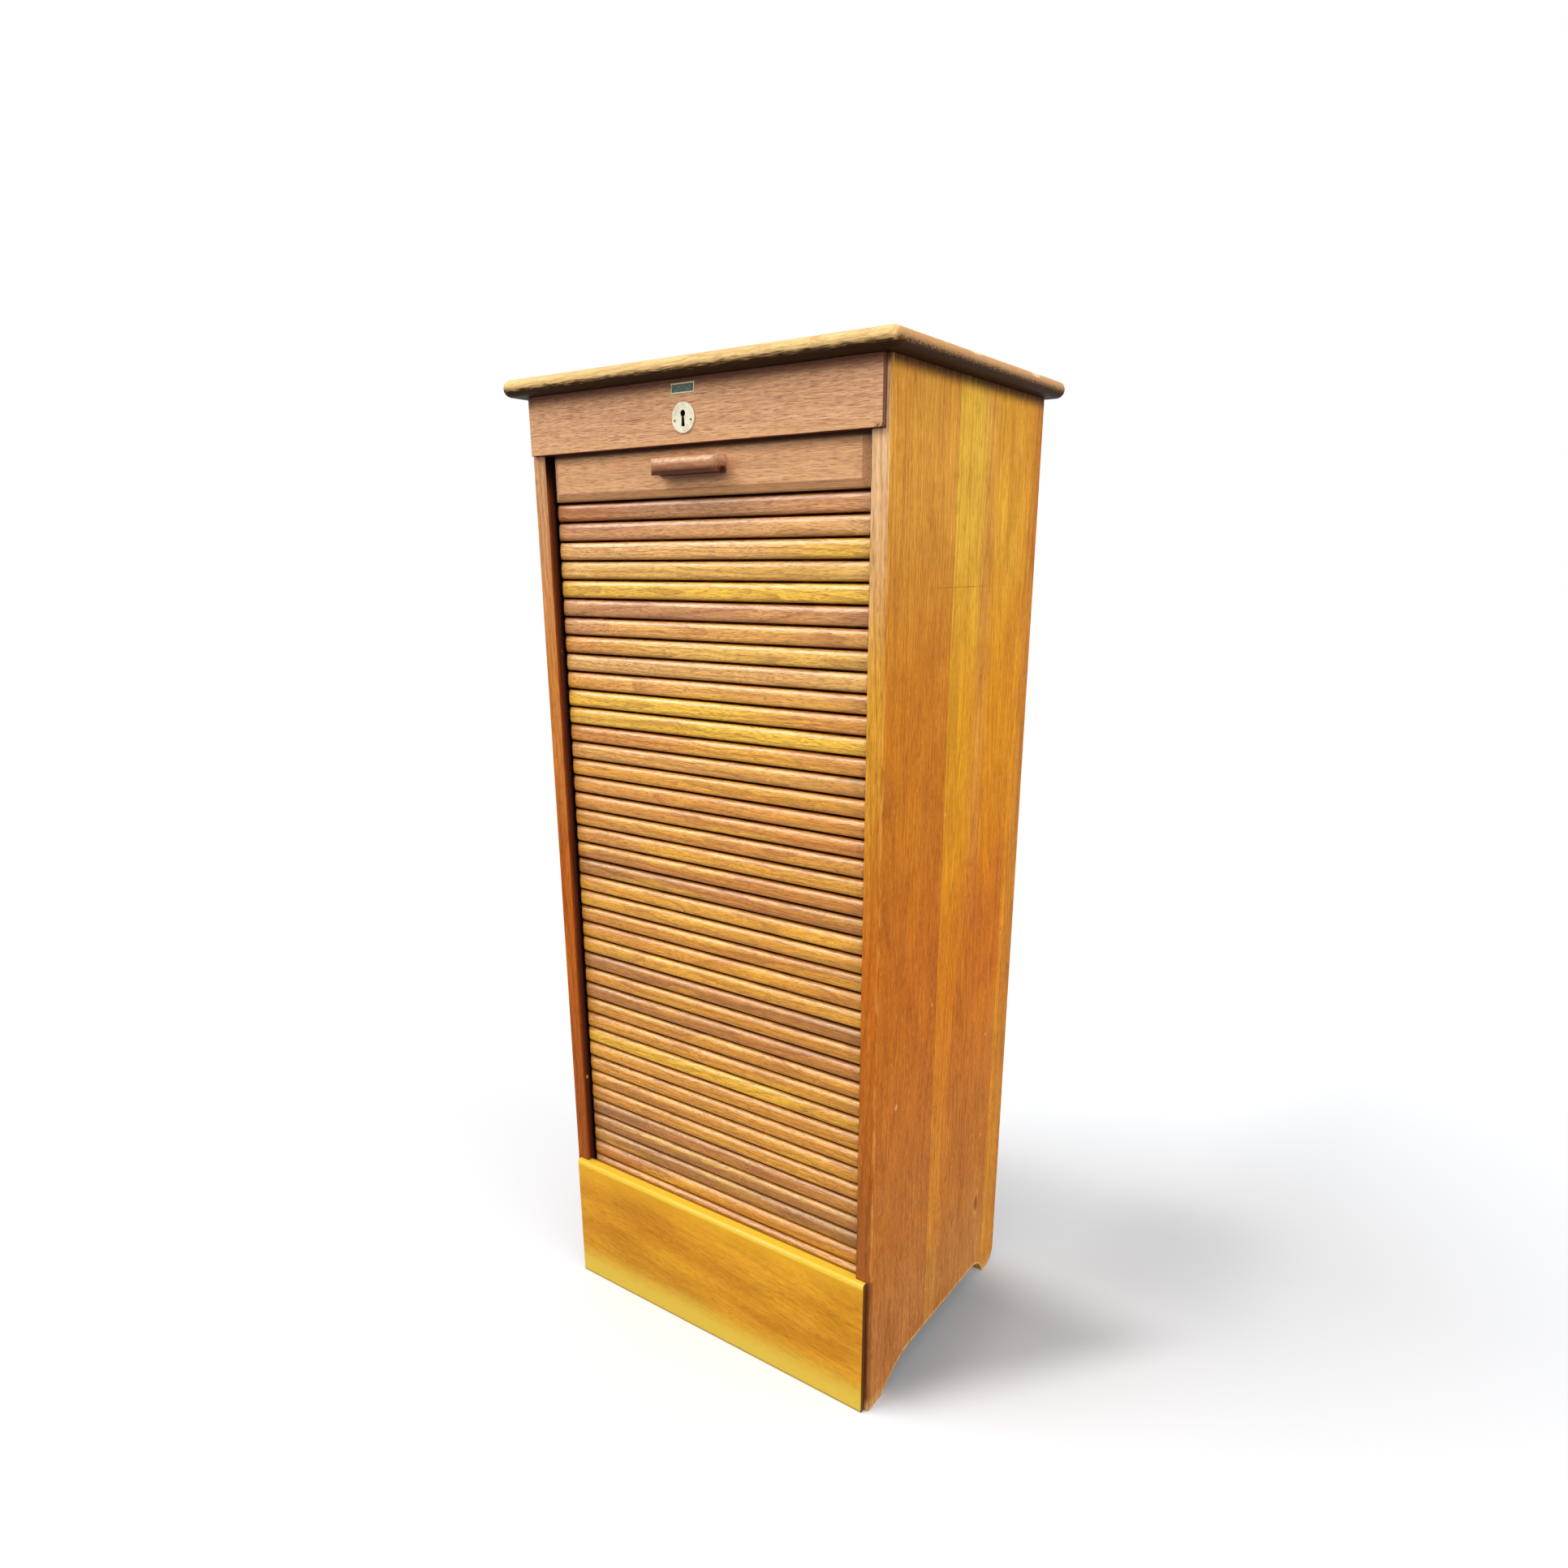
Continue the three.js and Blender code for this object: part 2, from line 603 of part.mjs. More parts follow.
function leadRail() {
  const end = sideInner - LEAD_END_GAP;
  const tongueFront = slatBack - TONGUE_THICKNESS;
  const deep = leadFace + LEAD_BEVEL_DEPTH * (1 + OVERRUN / LEAD_BEVEL_WIDTH);
  let made = box(-end, end, leadFace, slatBack, leadBottom, leadTop);
  for (const side of [-1, 1]) {
    const edge = side * (end + OVERRUN);
    const bevel = [
      [side * (end - LEAD_BEVEL_WIDTH), leadFace],
      [side * (end - LEAD_BEVEL_WIDTH), leadFace - OVERRUN],
      [edge, leadFace - OVERRUN],
      [edge, deep],
    ];
    made = made.subtract(prismZ(bevel, leadBottom - OVERRUN, leadTop + OVERRUN));
  }
  const lowerBevel = [
    [leadFace, leadBottom + LEAD_BEVEL_WIDTH],
    [leadFace - OVERRUN, leadBottom + LEAD_BEVEL_WIDTH],
    [leadFace - OVERRUN, leadBottom - OVERRUN],
    [deep, leadBottom - OVERRUN],
  ];
  made = made.subtract(prismX(lowerBevel, -end - OVERRUN, end + OVERRUN));
  made = made.add(box(-end, end, slatCrown, slatBack, leadBottom, lipTop));
  made = made.add(box(-tongueEnd, tongueEnd, tongueFront, slatBack, leadBottom, lipTop));
  const plateEnd = PLATE_LENGTH / 2 + FIT;
  made = made.subtract(
    box(
      LOCK_OFFSET - plateEnd,
      LOCK_OFFSET + plateEnd,
      slatCrown - OVERRUN,
      slatBack + OVERRUN,
      plateBottom - FIT,
      lipTop + OVERRUN,
    ),
  );
  const pocketReach = HOOK_OUTER_RADIUS + PLATE_SLOT_EASE;
  made = made.subtract(
    box(
      LOCK_OFFSET - pocketReach,
      LOCK_OFFSET + pocketReach,
      hookY - POCKET_WIDTH / 2,
      hookY + POCKET_WIDTH / 2,
      plateBottom - POCKET_DEPTH,
      lipTop + OVERRUN,
    ),
  );
  return made;
}

// The pull's section: a round nose, a shallow hollow on top and a deep one for the fingers underneath
function pullSection(seat, nose, top, bottom) {
  const plate = seat - PULL_PLATE_THICKNESS;
  const inLip = nose + PULL_LIP_THICKNESS;
  const section = [
    [seat, top],
    [plate, top],
    [plate - PULL_TOP_HOLLOW, top - PULL_TOP_HOLLOW],
  ];
  for (let step = 0; step <= ROUND_STEPS; step++) {
    const turn = (step / ROUND_STEPS) * (Math.PI / 2);
    section.push([
      nose + PULL_NOSE_ROUND * (1 - Math.sin(turn)),
      top - PULL_NOSE_ROUND * (1 - Math.cos(turn)),
    ]);
  }
  section.push([nose, bottom + PULL_LOWER_CHAMFER]);
  section.push([nose + PULL_LOWER_CHAMFER, bottom]);
  section.push([inLip, bottom]);
  section.push([inLip + PULL_LIP_SLOPE, bottom + PULL_GRIP_DEPTH]);
  section.push([plate, bottom + PULL_GRIP_DEPTH]);
  section.push([plate, bottom]);
  section.push([seat, bottom]);
  return section;
}

function pullHandle() {
  const nose = leadFace - PULL_REACH;
  const top = headerBottom - PULL_DROP;
  const bottom = top - PULL_HEIGHT;
  const half = PULL_LENGTH / 2;
  const section = pullSection(leadFace - FIT, nose, top, bottom);
  let made = prismX(section, LOCK_OFFSET - half, LOCK_OFFSET + half);
  const past = (PULL_END_CHAMFER_DEPTH * OVERRUN) / PULL_END_CHAMFER;
  for (const side of [-1, 1]) {
    const at = (out) => LOCK_OFFSET + side * (half + out);
    const chamfer = [
      [at(-PULL_END_CHAMFER - OVERRUN), nose - past],
      [at(OVERRUN), nose - past],
      [at(OVERRUN), nose + PULL_END_CHAMFER_DEPTH + past],
    ];
    made = made.subtract(prismZ(chamfer, bottom - OVERRUN, top + OVERRUN));
  }
  return made;
}

// One slat about its own middle height: a rounded front, two tongues and its strip of canvas
function slat() {
  const chord = slatHeight / 2;
  const rise = SLAT_THICKNESS - SLAT_EDGE;
  const radius = (chord ** 2 + rise ** 2) / (2 * rise);
  const reach = Math.asin(chord / radius);
  const centre = slatCrown + radius;
  const strip = (slatPitch - CANVAS_SEAM) / 2;
  const section = [
    [slatBack, -chord],
    [slatBack, -strip],
    [canvasBack, -strip],
    [canvasBack, strip],
    [slatBack, strip],
    [slatBack, chord],
  ];
  const steps = 2 * ROUND_STEPS - 2;
  for (let step = 0; step <= steps; step++) {
    const turn = reach * (1 - (2 * step) / steps);
    section.push([centre - radius * Math.cos(turn), radius * Math.sin(turn)]);
  }
  const shoulder = sideInner - SLAT_SHOULDER_GAP;
  let made = prismX(section, -shoulder, shoulder);
  const slopeBack = slatBack - SLAT_EDGE;
  for (const side of [-1, 1]) {
    const slope = [
      [side * (shoulder - SLAT_END_SLOPE), slatCrown],
      [side * (shoulder - SLAT_END_SLOPE), slatCrown - OVERRUN],
      [side * (shoulder + OVERRUN), slatCrown - OVERRUN],
      [side * (shoulder + OVERRUN), slopeBack],
      [side * shoulder, slopeBack],
    ];
    made = made.subtract(prismZ(slope, -slatHeight, slatHeight));
  }
  const tongueHalf = TONGUE_HEIGHT / 2;
  return made.add(
    box(-tongueEnd, tongueEnd, slatBack - TONGUE_THICKNESS, slatBack, -tongueHalf, tongueHalf),
  );
}

// Assembly
const cabinet = new THREE.Group();
const amber = 0xc98a3a;
const golden = 0xd39a33;
const brown = 0xb98a62;

cabinet.add(piece("top_board", topBoard(), wood(golden)));
cabinet.add(piece("side_panel_left", sidePanel(-1), wood(amber)));
cabinet.add(piece("side_panel_right", sidePanel(1), wood(amber)));
cabinet.add(piece("header_board", headerBoard(), wood(brown)));
cabinet.add(piece("plinth_board", plinthBoard(), wood(golden)));

const [deck, ...shelves] = housings();
cabinet.add(piece("deck_board", housedBoard(deck), wood(amber)));
shelves.forEach((place, n) => {
  cabinet.add(piece("shelf_" + (n + 1), housedBoard(place), wood(amber)));
});

const falseBackEnd = sideInner - FIT;
const falseBack = box(
  -falseBackEnd,
  falseBackEnd,
  falseBackFront,
  falseBackRear,
  DECK_HEIGHT - HOUSING_SHOULDER + FIT,
  BODY_HEIGHT - FIT,
);
cabinet.add(piece("false_back", falseBack, wood(amber)));

const railRear = falseBackFront - FIT;
const topRail = box(
  -falseBackEnd,
  falseBackEnd,
  railRear - TOP_RAIL_THICKNESS,
  railRear,
  BODY_HEIGHT - TOP_RAIL_HEIGHT,
  BODY_HEIGHT - FIT,
);
cabinet.add(piece("top_rail", topRail, wood(amber)));

const panelEnd = sideInner + BACK_REBATE - FIT;
const backPanel = box(-panelEnd, panelEnd, panelFront, back - FIT, BACK_PANEL_LIFT, BODY_HEIGHT - FIT);
cabinet.add(piece("back_panel", backPanel, wood(brown)));

cabinet.add(piece("lock_case", lockCase(), metal(0x8a8478)));
cabinet.add(piece("lock_hook", lockHook(), metal(0x8a8478)));
cabinet.add(piece("escutcheon", escutcheon(), metal(0xe3dcc4)));
["left", "right"].forEach((side, n) => {
  cabinet.add(piece("escutcheon_pin_" + side, escutcheonPin(pinPlaces[n]), metal(0xb9a97c)));
});

// The curtain hangs as one group, because it travels together
const curtain = new THREE.Group();
curtain.add(piece("lead_rail", leadRail(), wood(brown)));
curtain.add(piece("pull_handle", pullHandle(), wood(brown)));
curtain.add(piece("strike_plate", strikePlate(), metal(0xb9a97c)));
const slatSolid = slat();
for (let n = 0; n < SLAT_COUNT; n++) {
  const name = "slat_" + String(n + 1).padStart(2, "0");
  const made = piece(name, slatSolid, wood(n % 2 ? amber : golden));
  made.position.z = leadBottom - (n + 0.5) * slatPitch;
  curtain.add(made);
}
cabinet.add(curtain);

export default cabinet;
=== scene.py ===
# The looks of the tambour cabinet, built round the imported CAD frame.
# Metres. X is to the right, Y to the back, Z up. The floor is at Z = 0.
import math
import random

import bmesh
import bpy
from mathutils import Matrix, Vector, noise


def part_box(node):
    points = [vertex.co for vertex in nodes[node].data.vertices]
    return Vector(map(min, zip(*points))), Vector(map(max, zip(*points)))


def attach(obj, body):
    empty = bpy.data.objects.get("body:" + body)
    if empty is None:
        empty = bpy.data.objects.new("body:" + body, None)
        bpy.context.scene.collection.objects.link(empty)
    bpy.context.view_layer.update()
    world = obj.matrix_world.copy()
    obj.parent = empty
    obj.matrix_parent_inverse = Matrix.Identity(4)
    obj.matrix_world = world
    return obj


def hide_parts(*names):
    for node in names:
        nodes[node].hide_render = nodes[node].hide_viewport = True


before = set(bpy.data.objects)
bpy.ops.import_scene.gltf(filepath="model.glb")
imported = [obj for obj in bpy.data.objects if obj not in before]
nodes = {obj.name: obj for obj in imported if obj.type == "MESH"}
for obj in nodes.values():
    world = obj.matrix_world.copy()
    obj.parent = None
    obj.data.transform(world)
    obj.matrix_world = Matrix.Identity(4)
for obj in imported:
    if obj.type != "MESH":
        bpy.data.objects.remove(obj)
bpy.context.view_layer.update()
MM = 0.001


def mm(*values):
    return tuple(value * MM for value in values)


def places(level, *offsets):
    """Places that lie the given millimetres above, behind or right of a level."""
    return tuple(level + offset * MM for offset in offsets)


# The studio. Angles are in degrees, and a level of 1 lights a facing surface fully.

FLOOR_HALF = 9.0
FLOOR_DROP = 0.2 * MM
FLOOR_COLOUR = (0.590, 0.600, 0.614, 1.0)
FLOOR_GLOW = 0.18
SKY_LOW, SKY_HIGH = 0.36, 0.84
# Name, where the light comes from (0 is the front, 90 the right), elevation, level and spread
LAMPS = (
    ("key", -46, 46, 0.82, 42),
    ("front fill", 12, 12, 0.26, 60),
    ("right fill", 80, 13, 0.72, 60),
)
LAMP_DISTANCE = 4.0
CAMERA_PLACE = (0.7536, -1.0736, 0.9896)
CAMERA_HEADING, CAMERA_DROP, CAMERA_ROLL = 35.42, 16.23, -0.21
CAMERA_LENS, CAMERA_SENSOR = 24.006, 36.0
CAMERA_SHIFT_X, CAMERA_SHIFT_Y = 0.0019, 0.0518
CAMERA_NEAR, CAMERA_FAR = 0.05, 60.0


# Colours, written as they look in daylight

WHITE = (1, 1, 1, 1)


def linear(channel):
    share = channel / 255
    return share / 12.92 if share <= 0.04045 else ((share + 0.055) / 1.055) ** 2.4


def shade(red, green, blue):
    return (linear(red), linear(green), linear(blue), 1.0)


# Node graphs

class Graph:
    """A node tree under construction. A value is a number, a colour, a vector or another node's socket."""

    def __init__(self, owner, space="Object"):
        owner.use_nodes = True
        self.tree = owner.node_tree
        self.tree.nodes.clear()
        self.point = self.add("TexCoord").outputs[space]
        split = self.add("SeparateXYZ")
        self.feed(split.inputs[0], self.point)
        self.x, self.y, self.z = split.outputs
        self.aside = self.math("ABSOLUTE", self.x)

    def add(self, kind, **settings):
        node = self.tree.nodes.new("ShaderNode" + kind)
        for key, value in settings.items():
            setattr(node, key, value)
        return node

    def feed(self, socket, value):
        if isinstance(value, bpy.types.NodeSocket):
            self.tree.links.new(value, socket)
        else:
            socket.default_value = value

    def feed_all(self, node, values):
        for socket, value in zip(node.inputs, values):
            self.feed(socket, value)

    def feed_named(self, node, **values):
        for key, value in values.items():
            self.feed(node.inputs[key.replace("_", " ")], value)

    def math(self, operation, *values, clamp=False):
        node = self.add("Math", operation=operation, use_clamp=clamp)
        self.feed_all(node, values)
        return node.outputs[0]

    def plus(self, first, second):
        return self.math("ADD", first, second)

    def minus(self, first, second):
        return self.math("SUBTRACT", first, second)

    def times(self, *values):
        product = values[0]
        for value in values[1:]:
            product = self.math("MULTIPLY", product, value)
        return product

    def vector(self, operation, *values):
        node = self.add("VectorMath", operation=operation)
        self.feed_all(node, values)
        return node.outputs["Value" if operation == "LENGTH" else "Vector"]

    def join(self, x, y, z):
        node = self.add("CombineXYZ")
        self.feed_all(node, (x, y, z))
        return node.outputs[0]

    def noise(self, vector, scale=1.0, detail=2.0, roughness=0.5, output="Fac"):
        node = self.add("TexNoise")
        self.feed_named(node, Vector=vector, Scale=scale, Detail=detail, Roughness=roughness)
        return node.outputs[output]

    def drawn(self, scale, detail=2.0, roughness=0.5):
        """Noise that is drawn out: scale has the cells in a metre along X, Y and Z."""
        return self.noise(self.vector("MULTIPLY", self.point, scale), 1.0, detail, roughness)

    def span(self, value, low, high, out_low=0.0, out_high=1.0, kind="SMOOTHSTEP"):
        """Runs from out_low at low to out_high at high, and stays level beyond them."""
        node = self.add("MapRange", interpolation_type=kind)
        self.feed_all(node, (value, low, high, out_low, out_high))
        return node.outputs[0]

    def band(self, value, low, high, soft):
        """1 between low and high, fading to 0 over soft on each side."""
        rise = self.span(value, low - soft, low + soft)
        return self.times(rise, self.span(value, high - soft, high + soft, 1.0, 0.0))

    def mix(self, share, first, second, blend="MIX"):
        node = self.add("Mix", data_type="RGBA", blend_type=blend)
        self.feed(node.inputs["Factor"], share)
        self.feed(node.inputs[6], first)
        self.feed(node.inputs[7], second)
        return node.outputs[2]

    def scaled(self, colour, factor):
        """A colour times another one, channel by channel."""
        return self.mix(1.0, colour, factor, "MULTIPLY")

    def lay(self, colour, over, *shares):
        """A colour with another one laid over it, as far as the product of the shares says."""
        return self.mix(self.times(*shares), colour, over)

    def attribute(self, name, output="Fac"):
        return self.add("Attribute", attribute_name=name).outputs[output]

    def seen(self):
        """1 where the camera looks, also in a reflection or through glass, and 0 for light on its way."""
        path = self.add("LightPath")
        seen = self.math("MAXIMUM", path.outputs["Is Camera Ray"], path.outputs["Is Glossy Ray"])
        return self.math("MAXIMUM", seen, path.outputs["Is Transmission Ray"])

    def close(self, shader, kind="Material"):
        output = self.add("Output" + kind)
        self.feed(output.inputs["Surface"], shader.outputs[0])

    def surface(self, colour, roughness, height, depth, strength, **settings):
        shader = self.add("BsdfPrincipled")
        self.feed_named(shader, Base_Color=colour, Roughness=roughness, **settings)
        bump = self.add("Bump")
        self.feed_named(bump, Distance=depth, Strength=strength, Height=height)
        self.feed_named(shader, Normal=bump.outputs[0])
        self.close(shader)


# Oak. Along the grain everything is drawn out: growth bands, streaks, pores and, on some boards, pale rays.
# A figure's scale is its cells in a metre, along the grain and across it.

BAND_SCALE = (2.2, 48.0)
PATCH_SCALE = (1.6, 9.0)
STREAK_SCALE = (10.0, 420.0)
FIBRE_SCALE = (60.0, 1500.0)
DASH_SCALE = (72.0, 2100.0)
PORE_SCALE = (190.0, 2600.0)
RING_SCALE = (1.1, 26.0)
RINGS_IN_A_CELL = 15.0
WARP_SCALE = 9.0
RAY_SCALE = (70.0, 260.0, 760.0)
RAY_PATCH_SCALE = 17.0
RAY_TURN = 34
GRAIN_DARK, GRAIN_LIGHT = (0.70, 0.62, 0.55, 1), (1.24, 1.28, 1.30, 1)
RING_FACTOR = (0.56, 0.44, 0.36, 1)
PORE_FACTOR = (0.44, 0.36, 0.32, 1)
OAK_BUMP = 0.3 * MM


def stretched(graph, point, grain, along, across):
    scale = [across, across, across]
    scale["XYZ".index(grain)] = along
    return graph.vector("MULTIPLY", point, tuple(scale))


def ray_marks(graph, point):
    """Short pale flecks that lie aslant, in patches."""
    turned = graph.add("VectorRotate", rotation_type="Y_AXIS")
    graph.feed_named(turned, Vector=point, Angle=math.radians(RAY_TURN))
    ray = graph.noise(graph.vector("MULTIPLY", turned.outputs[0], RAY_SCALE), 1, 1)
    patch = graph.span(graph.noise(point, RAY_PATCH_SCALE, 1), 0.47, 0.60)
    return graph.times(graph.span(ray, 0.61, 0.66), patch)


def oak(name, grain, tone, bands=0.5, rings=0.3, streaks=0.5, dashes=0.6, rays=None, waviness=0.012,
        dash_scale=DASH_SCALE, paint=None, gloss=0.0, sheen=0.2, dullness=None, shift=None):
    """grain is the letter of the axis that the grain runs along. tone is a colour or a function of the
    graph. rays says how strongly rays show, paint changes the finished colour, dullness says where the shine
    is taken away, and shift moves the grain. Each of these is a function too."""
    material = bpy.data.materials.new(name)
    graph = Graph(material)
    point = graph.point
    if shift is not None:
        point = graph.vector("ADD", point, shift(graph))
    warp = graph.vector("SUBTRACT", graph.noise(point, WARP_SCALE, output="Color"), (0.5, 0.5, 0.5))
    point = graph.vector("ADD", point, graph.vector("MULTIPLY", warp, (waviness,) * 3))

    def figure(scale, detail=2.0, roughness=0.5):
        return graph.noise(stretched(graph, point, grain, *scale), 1, detail, roughness)

    band = figure(BAND_SCALE, 3.0, 0.55)
    patch = figure(PATCH_SCALE)
    streak = figure(STREAK_SCALE, 3.0, 0.6)
    fibre = figure(FIBRE_SCALE, 2.0, 0.6)
    crowd = graph.span(band, 0.40, 0.62, 0, 0.04)
    dash = graph.span(graph.plus(figure(dash_scale, 0), crowd), 0.58, 0.64)
    pore = graph.span(figure(PORE_SCALE, 0), 0.60, 0.70)
    growth = graph.math("FRACT", graph.times(figure(RING_SCALE, 1, 0.4), RINGS_IN_A_CELL))
    ring = graph.times(graph.span(growth, 0.45, 0.93), graph.span(growth, 1, 0.93),
                       graph.span(streak, 0.30, 0.60, 0.35, 1))

    colour = tone(graph) if callable(tone) else tone
    for value, share in ((band, bands), (patch, bands * 0.6), (streak, streaks), (fibre, streaks * 0.7)):
        ripple = graph.mix(graph.span(value, 0.30, 0.70), GRAIN_DARK, GRAIN_LIGHT)
        colour = graph.mix(share * 0.5, colour, graph.scaled(colour, ripple))
    colour = graph.lay(colour, graph.scaled(colour, RING_FACTOR), ring, rings)
    for mark, share in ((dash, dashes), (pore, dashes * 0.35)):
        colour = graph.lay(colour, graph.scaled(colour, PORE_FACTOR), mark, share)
    if rays is not None:
        colour = graph.lay(colour, shade(250, 214, 160), ray_marks(graph, point), rays(graph))
    if paint is not None:
        colour = paint(graph, colour)

    roughness = graph.plus(0.42, graph.times(streak, 0.16))
    roughness = graph.math("ADD", roughness, graph.times(dash, 0.2), clamp=True)
    height = graph.minus(graph.times(fibre, 0.3), graph.times(dash, 0.5))
    height = graph.minus(height, graph.times(pore, 0.35))
    height = graph.plus(height, graph.times(streak, 0.25))
    if dullness is not None:
        polish = graph.minus(1, dullness(graph))
        sheen, gloss = graph.times(polish, sheen), graph.times(polish, gloss)
    graph.surface(colour, roughness, height, OAK_BUMP, 0.5, Specular_IOR_Level=sheen,
                  Coat_Weight=gloss, Coat_Roughness=0.25, Coat_IOR=1.5)
    return material


# The side panels. Two boards are glued edge to edge, a russet one in front and a golden one behind it.

SIDE_LOW, SIDE_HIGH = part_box("side_panel_right")
PLINTH_LOW, PLINTH_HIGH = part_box("plinth_board")
SIDE_HEIGHTS = (0.08, 0.22, 0.52, 0.80, 1.08)
BRIGHT_HEIGHTS = (0.08, 0.20, 0.52, 0.80, 1.08)
STILE_HEIGHTS = (0.20, 0.55, 0.85, 1.08)
MIDDLE_SOFT = 10 * MM
# The left panel's joint lies further back than the right one's
LEFT_SHIFT = -62 * MM
JOINT = mm(-36.2, -34.8)
JOINT_LINE = mm(-36.2, -35.2, 0.6)
JOINT_WANDER = 4 * MM
# The golden strip behind the joint widens with height
STRIP_START = 35 * MM
STRIP_HEIGHTS = (0.2, 0.9)
STRIP_WIDTHS = mm(48, 105)
REAR_GOLD = mm(138, 150, 3)
REAR_PALE = mm(150, 156)
REAR_RUSSET = mm(164, 170)
DULL_DEPTHS = mm(30, 60, 12)
DULL_HEIGHTS = (0.50, 0.75)
# The front edge, and the inner face with painted shade in the curtain's groove
STILE_EDGE = places(SIDE_LOW.y, 0.8, 0.3)
INNER_LAYER = places(SIDE_LOW.x, 12, 9)
INNER_FRONT = places(SIDE_LOW.y, 0.4, 1.2)
INNER_REAR = places(SIDE_HIGH.y, -1.5, -3)
GROOVE_LIP = places(SIDE_LOW.y, 1.5, 6)
GROOVE_DARK = places(SIDE_LOW.y, 6, 14)
GROOVE_REAR = places(SIDE_LOW.y, 30, 40)
GROOVE_TOP = (1.055, 1.095)
# Marks
OUTER_FACE = places(SIDE_HIGH.x, -1.5, -0.5)
STAIN_DEPTHS, STAIN_HEIGHTS = mm(12, 66, 16), (0.16, 0.62, 0.10)
SCRATCH_DEPTHS, SCRATCH_HEIGHTS = mm(-71, 47, 4), mm(961.4, 962.4, 0.6)
# Painted shadow under the top board
SIDE_SHADOW = places(SIDE_HIGH.z, -15.7, -1.7)
ARRIS_DEPTHS = places(SIDE_LOW.y, 4.5, 2)
ARRIS_SIDES = places(SIDE_HIGH.x, -2.8, -1.5)
BEHIND_PLINTH = places(SIDE_LOW.y, 6, 2.5)
BELOW_LEDGE = places(PLINTH_HIGH.z, 5, -1)
KNOT = mm(240, 112, 131)
KNOT_STRETCH = (0.0, 1.0, 0.34)
KNOT_WANDER = 12 * MM
KNOT_HALO = mm(8.5, 4.5)
KNOT_CORE = mm(4.8, 2.2)
# The arch in the lower edge
ARCH_HEIGHT = 28.5 * MM
ARCH_FRONT, ARCH_REAR = SIDE_LOW.y + 34 * MM, SIDE_HIGH.y - 34 * MM
ARCH_FRONT_RUN, ARCH_REAR_RUN = 66.96 * MM, 43 * MM
ARCH_REAR_POWER = 0.75
ARCH_SOFT = 3 * MM
ARCH_RIM = mm(4.8, 2.2)
FOOT_RIM = mm(22, 2)


def vertical_tone(heights, *colours):
    """Colours from the floor up, each reached at its height."""
    def tone(graph):
        colour = shade(*colours[0])
        for low, high, upper in zip(heights, heights[1:], colours[1:]):
            colour = graph.mix(graph.span(graph.z, low, high), colour, shade(*upper))
        return colour
    return tone


# Each of these grows paler towards the top and darker towards the floor: painted light and shade, as for
# light falling from above
side_front = vertical_tone(SIDE_HEIGHTS, (193, 122, 62), (194, 117, 46), (202, 110, 16), (208, 126, 22),
                           (218, 154, 56))
side_bright = vertical_tone(BRIGHT_HEIGHTS, (206, 140, 64), (218, 140, 46), (224, 134, 8), (232, 163, 24),
                            (238, 188, 62))
side_rear = vertical_tone(SIDE_HEIGHTS, (200, 130, 63), (202, 122, 42), (213, 117, 2), (224, 145, 8),
                          (230, 168, 46))
stile_right = vertical_tone(STILE_HEIGHTS, (162, 94, 42), (200, 112, 34), (216, 154, 52), (234, 190, 140))
stile_left = vertical_tone(STILE_HEIGHTS, (163, 86, 34), (188, 99, 30), (206, 132, 62), (203, 150, 106))


def sided(graph, left, right):
    """One value on the left panel, another on the right one."""
    return graph.span(graph.x, -MIDDLE_SOFT, MIDDLE_SOFT, left, right)


def side_tone(graph):
    """The two boards, a front edge that pales with height, and painted shade in the groove on the inner
    face.
    """
    y, z = graph.y, graph.z
    wander = graph.times(graph.minus(graph.noise(graph.point, 3, 1), 0.5), JOINT_WANDER)
    depth = graph.plus(graph.plus(y, wander), sided(graph, LEFT_SHIFT, 0))
    behind = graph.span(depth, *JOINT)
    colour = graph.mix(behind, side_front(graph), side_rear(graph))
    reach = graph.math("DIVIDE", graph.plus(depth, STRIP_START),
                       graph.span(z, *STRIP_HEIGHTS, *STRIP_WIDTHS))
    colour = graph.lay(colour, side_bright(graph), behind, graph.span(reach, 0.35, 1, 1, 0), 0.95)
    colour = graph.lay(colour, shade(232, 156, 30), graph.band(depth, *REAR_GOLD), 0.7)
    colour = graph.lay(colour, shade(212, 138, 36), graph.span(depth, *REAR_PALE), 0.85)
    colour = graph.lay(colour, shade(200, 124, 34), graph.span(depth, *REAR_RUSSET), 0.7)
    colour = graph.lay(colour, shade(208, 138, 72), graph.band(depth, *DULL_DEPTHS),
                       graph.span(z, *DULL_HEIGHTS, 0, 0.4))
    stile = graph.mix(sided(graph, 0, 1), stile_left(graph), stile_right(graph))
    colour = graph.mix(graph.span(y, *STILE_EDGE), colour, stile)
    # Painted shade in the curtain's groove, darkest deep in and near the header, with plain oak further back
    groove_shade = graph.mix(graph.span(y, *GROOVE_LIP), shade(150, 76, 34), shade(96, 44, 22))
    groove_shade = graph.mix(graph.span(y, *GROOVE_DARK), groove_shade, shade(26, 13, 7))
    groove_shade = graph.mix(graph.span(z, *GROOVE_TOP), groove_shade, shade(26, 12, 7))
    groove_shade = graph.mix(graph.span(y, *GROOVE_REAR), groove_shade, shade(186, 132, 76))
    return graph.lay(colour, groove_shade, graph.span(graph.aside, *INNER_LAYER), graph.span(y, *INNER_FRONT),
                     graph.span(y, *INNER_REAR))


def arch_height(graph):
    """How high the arch in a side panel's lower edge reaches at each depth."""
    front = graph.math("DIVIDE", graph.minus(graph.y, ARCH_FRONT), ARCH_FRONT_RUN, clamp=True)
    rear = graph.math("DIVIDE", graph.minus(ARCH_REAR, graph.y), ARCH_REAR_RUN, clamp=True)
    slope = graph.minus(1, graph.math("MINIMUM", front, graph.math("POWER", rear, ARCH_REAR_POWER)))
    return graph.times(graph.minus(1, graph.times(slope, slope)), ARCH_HEIGHT)


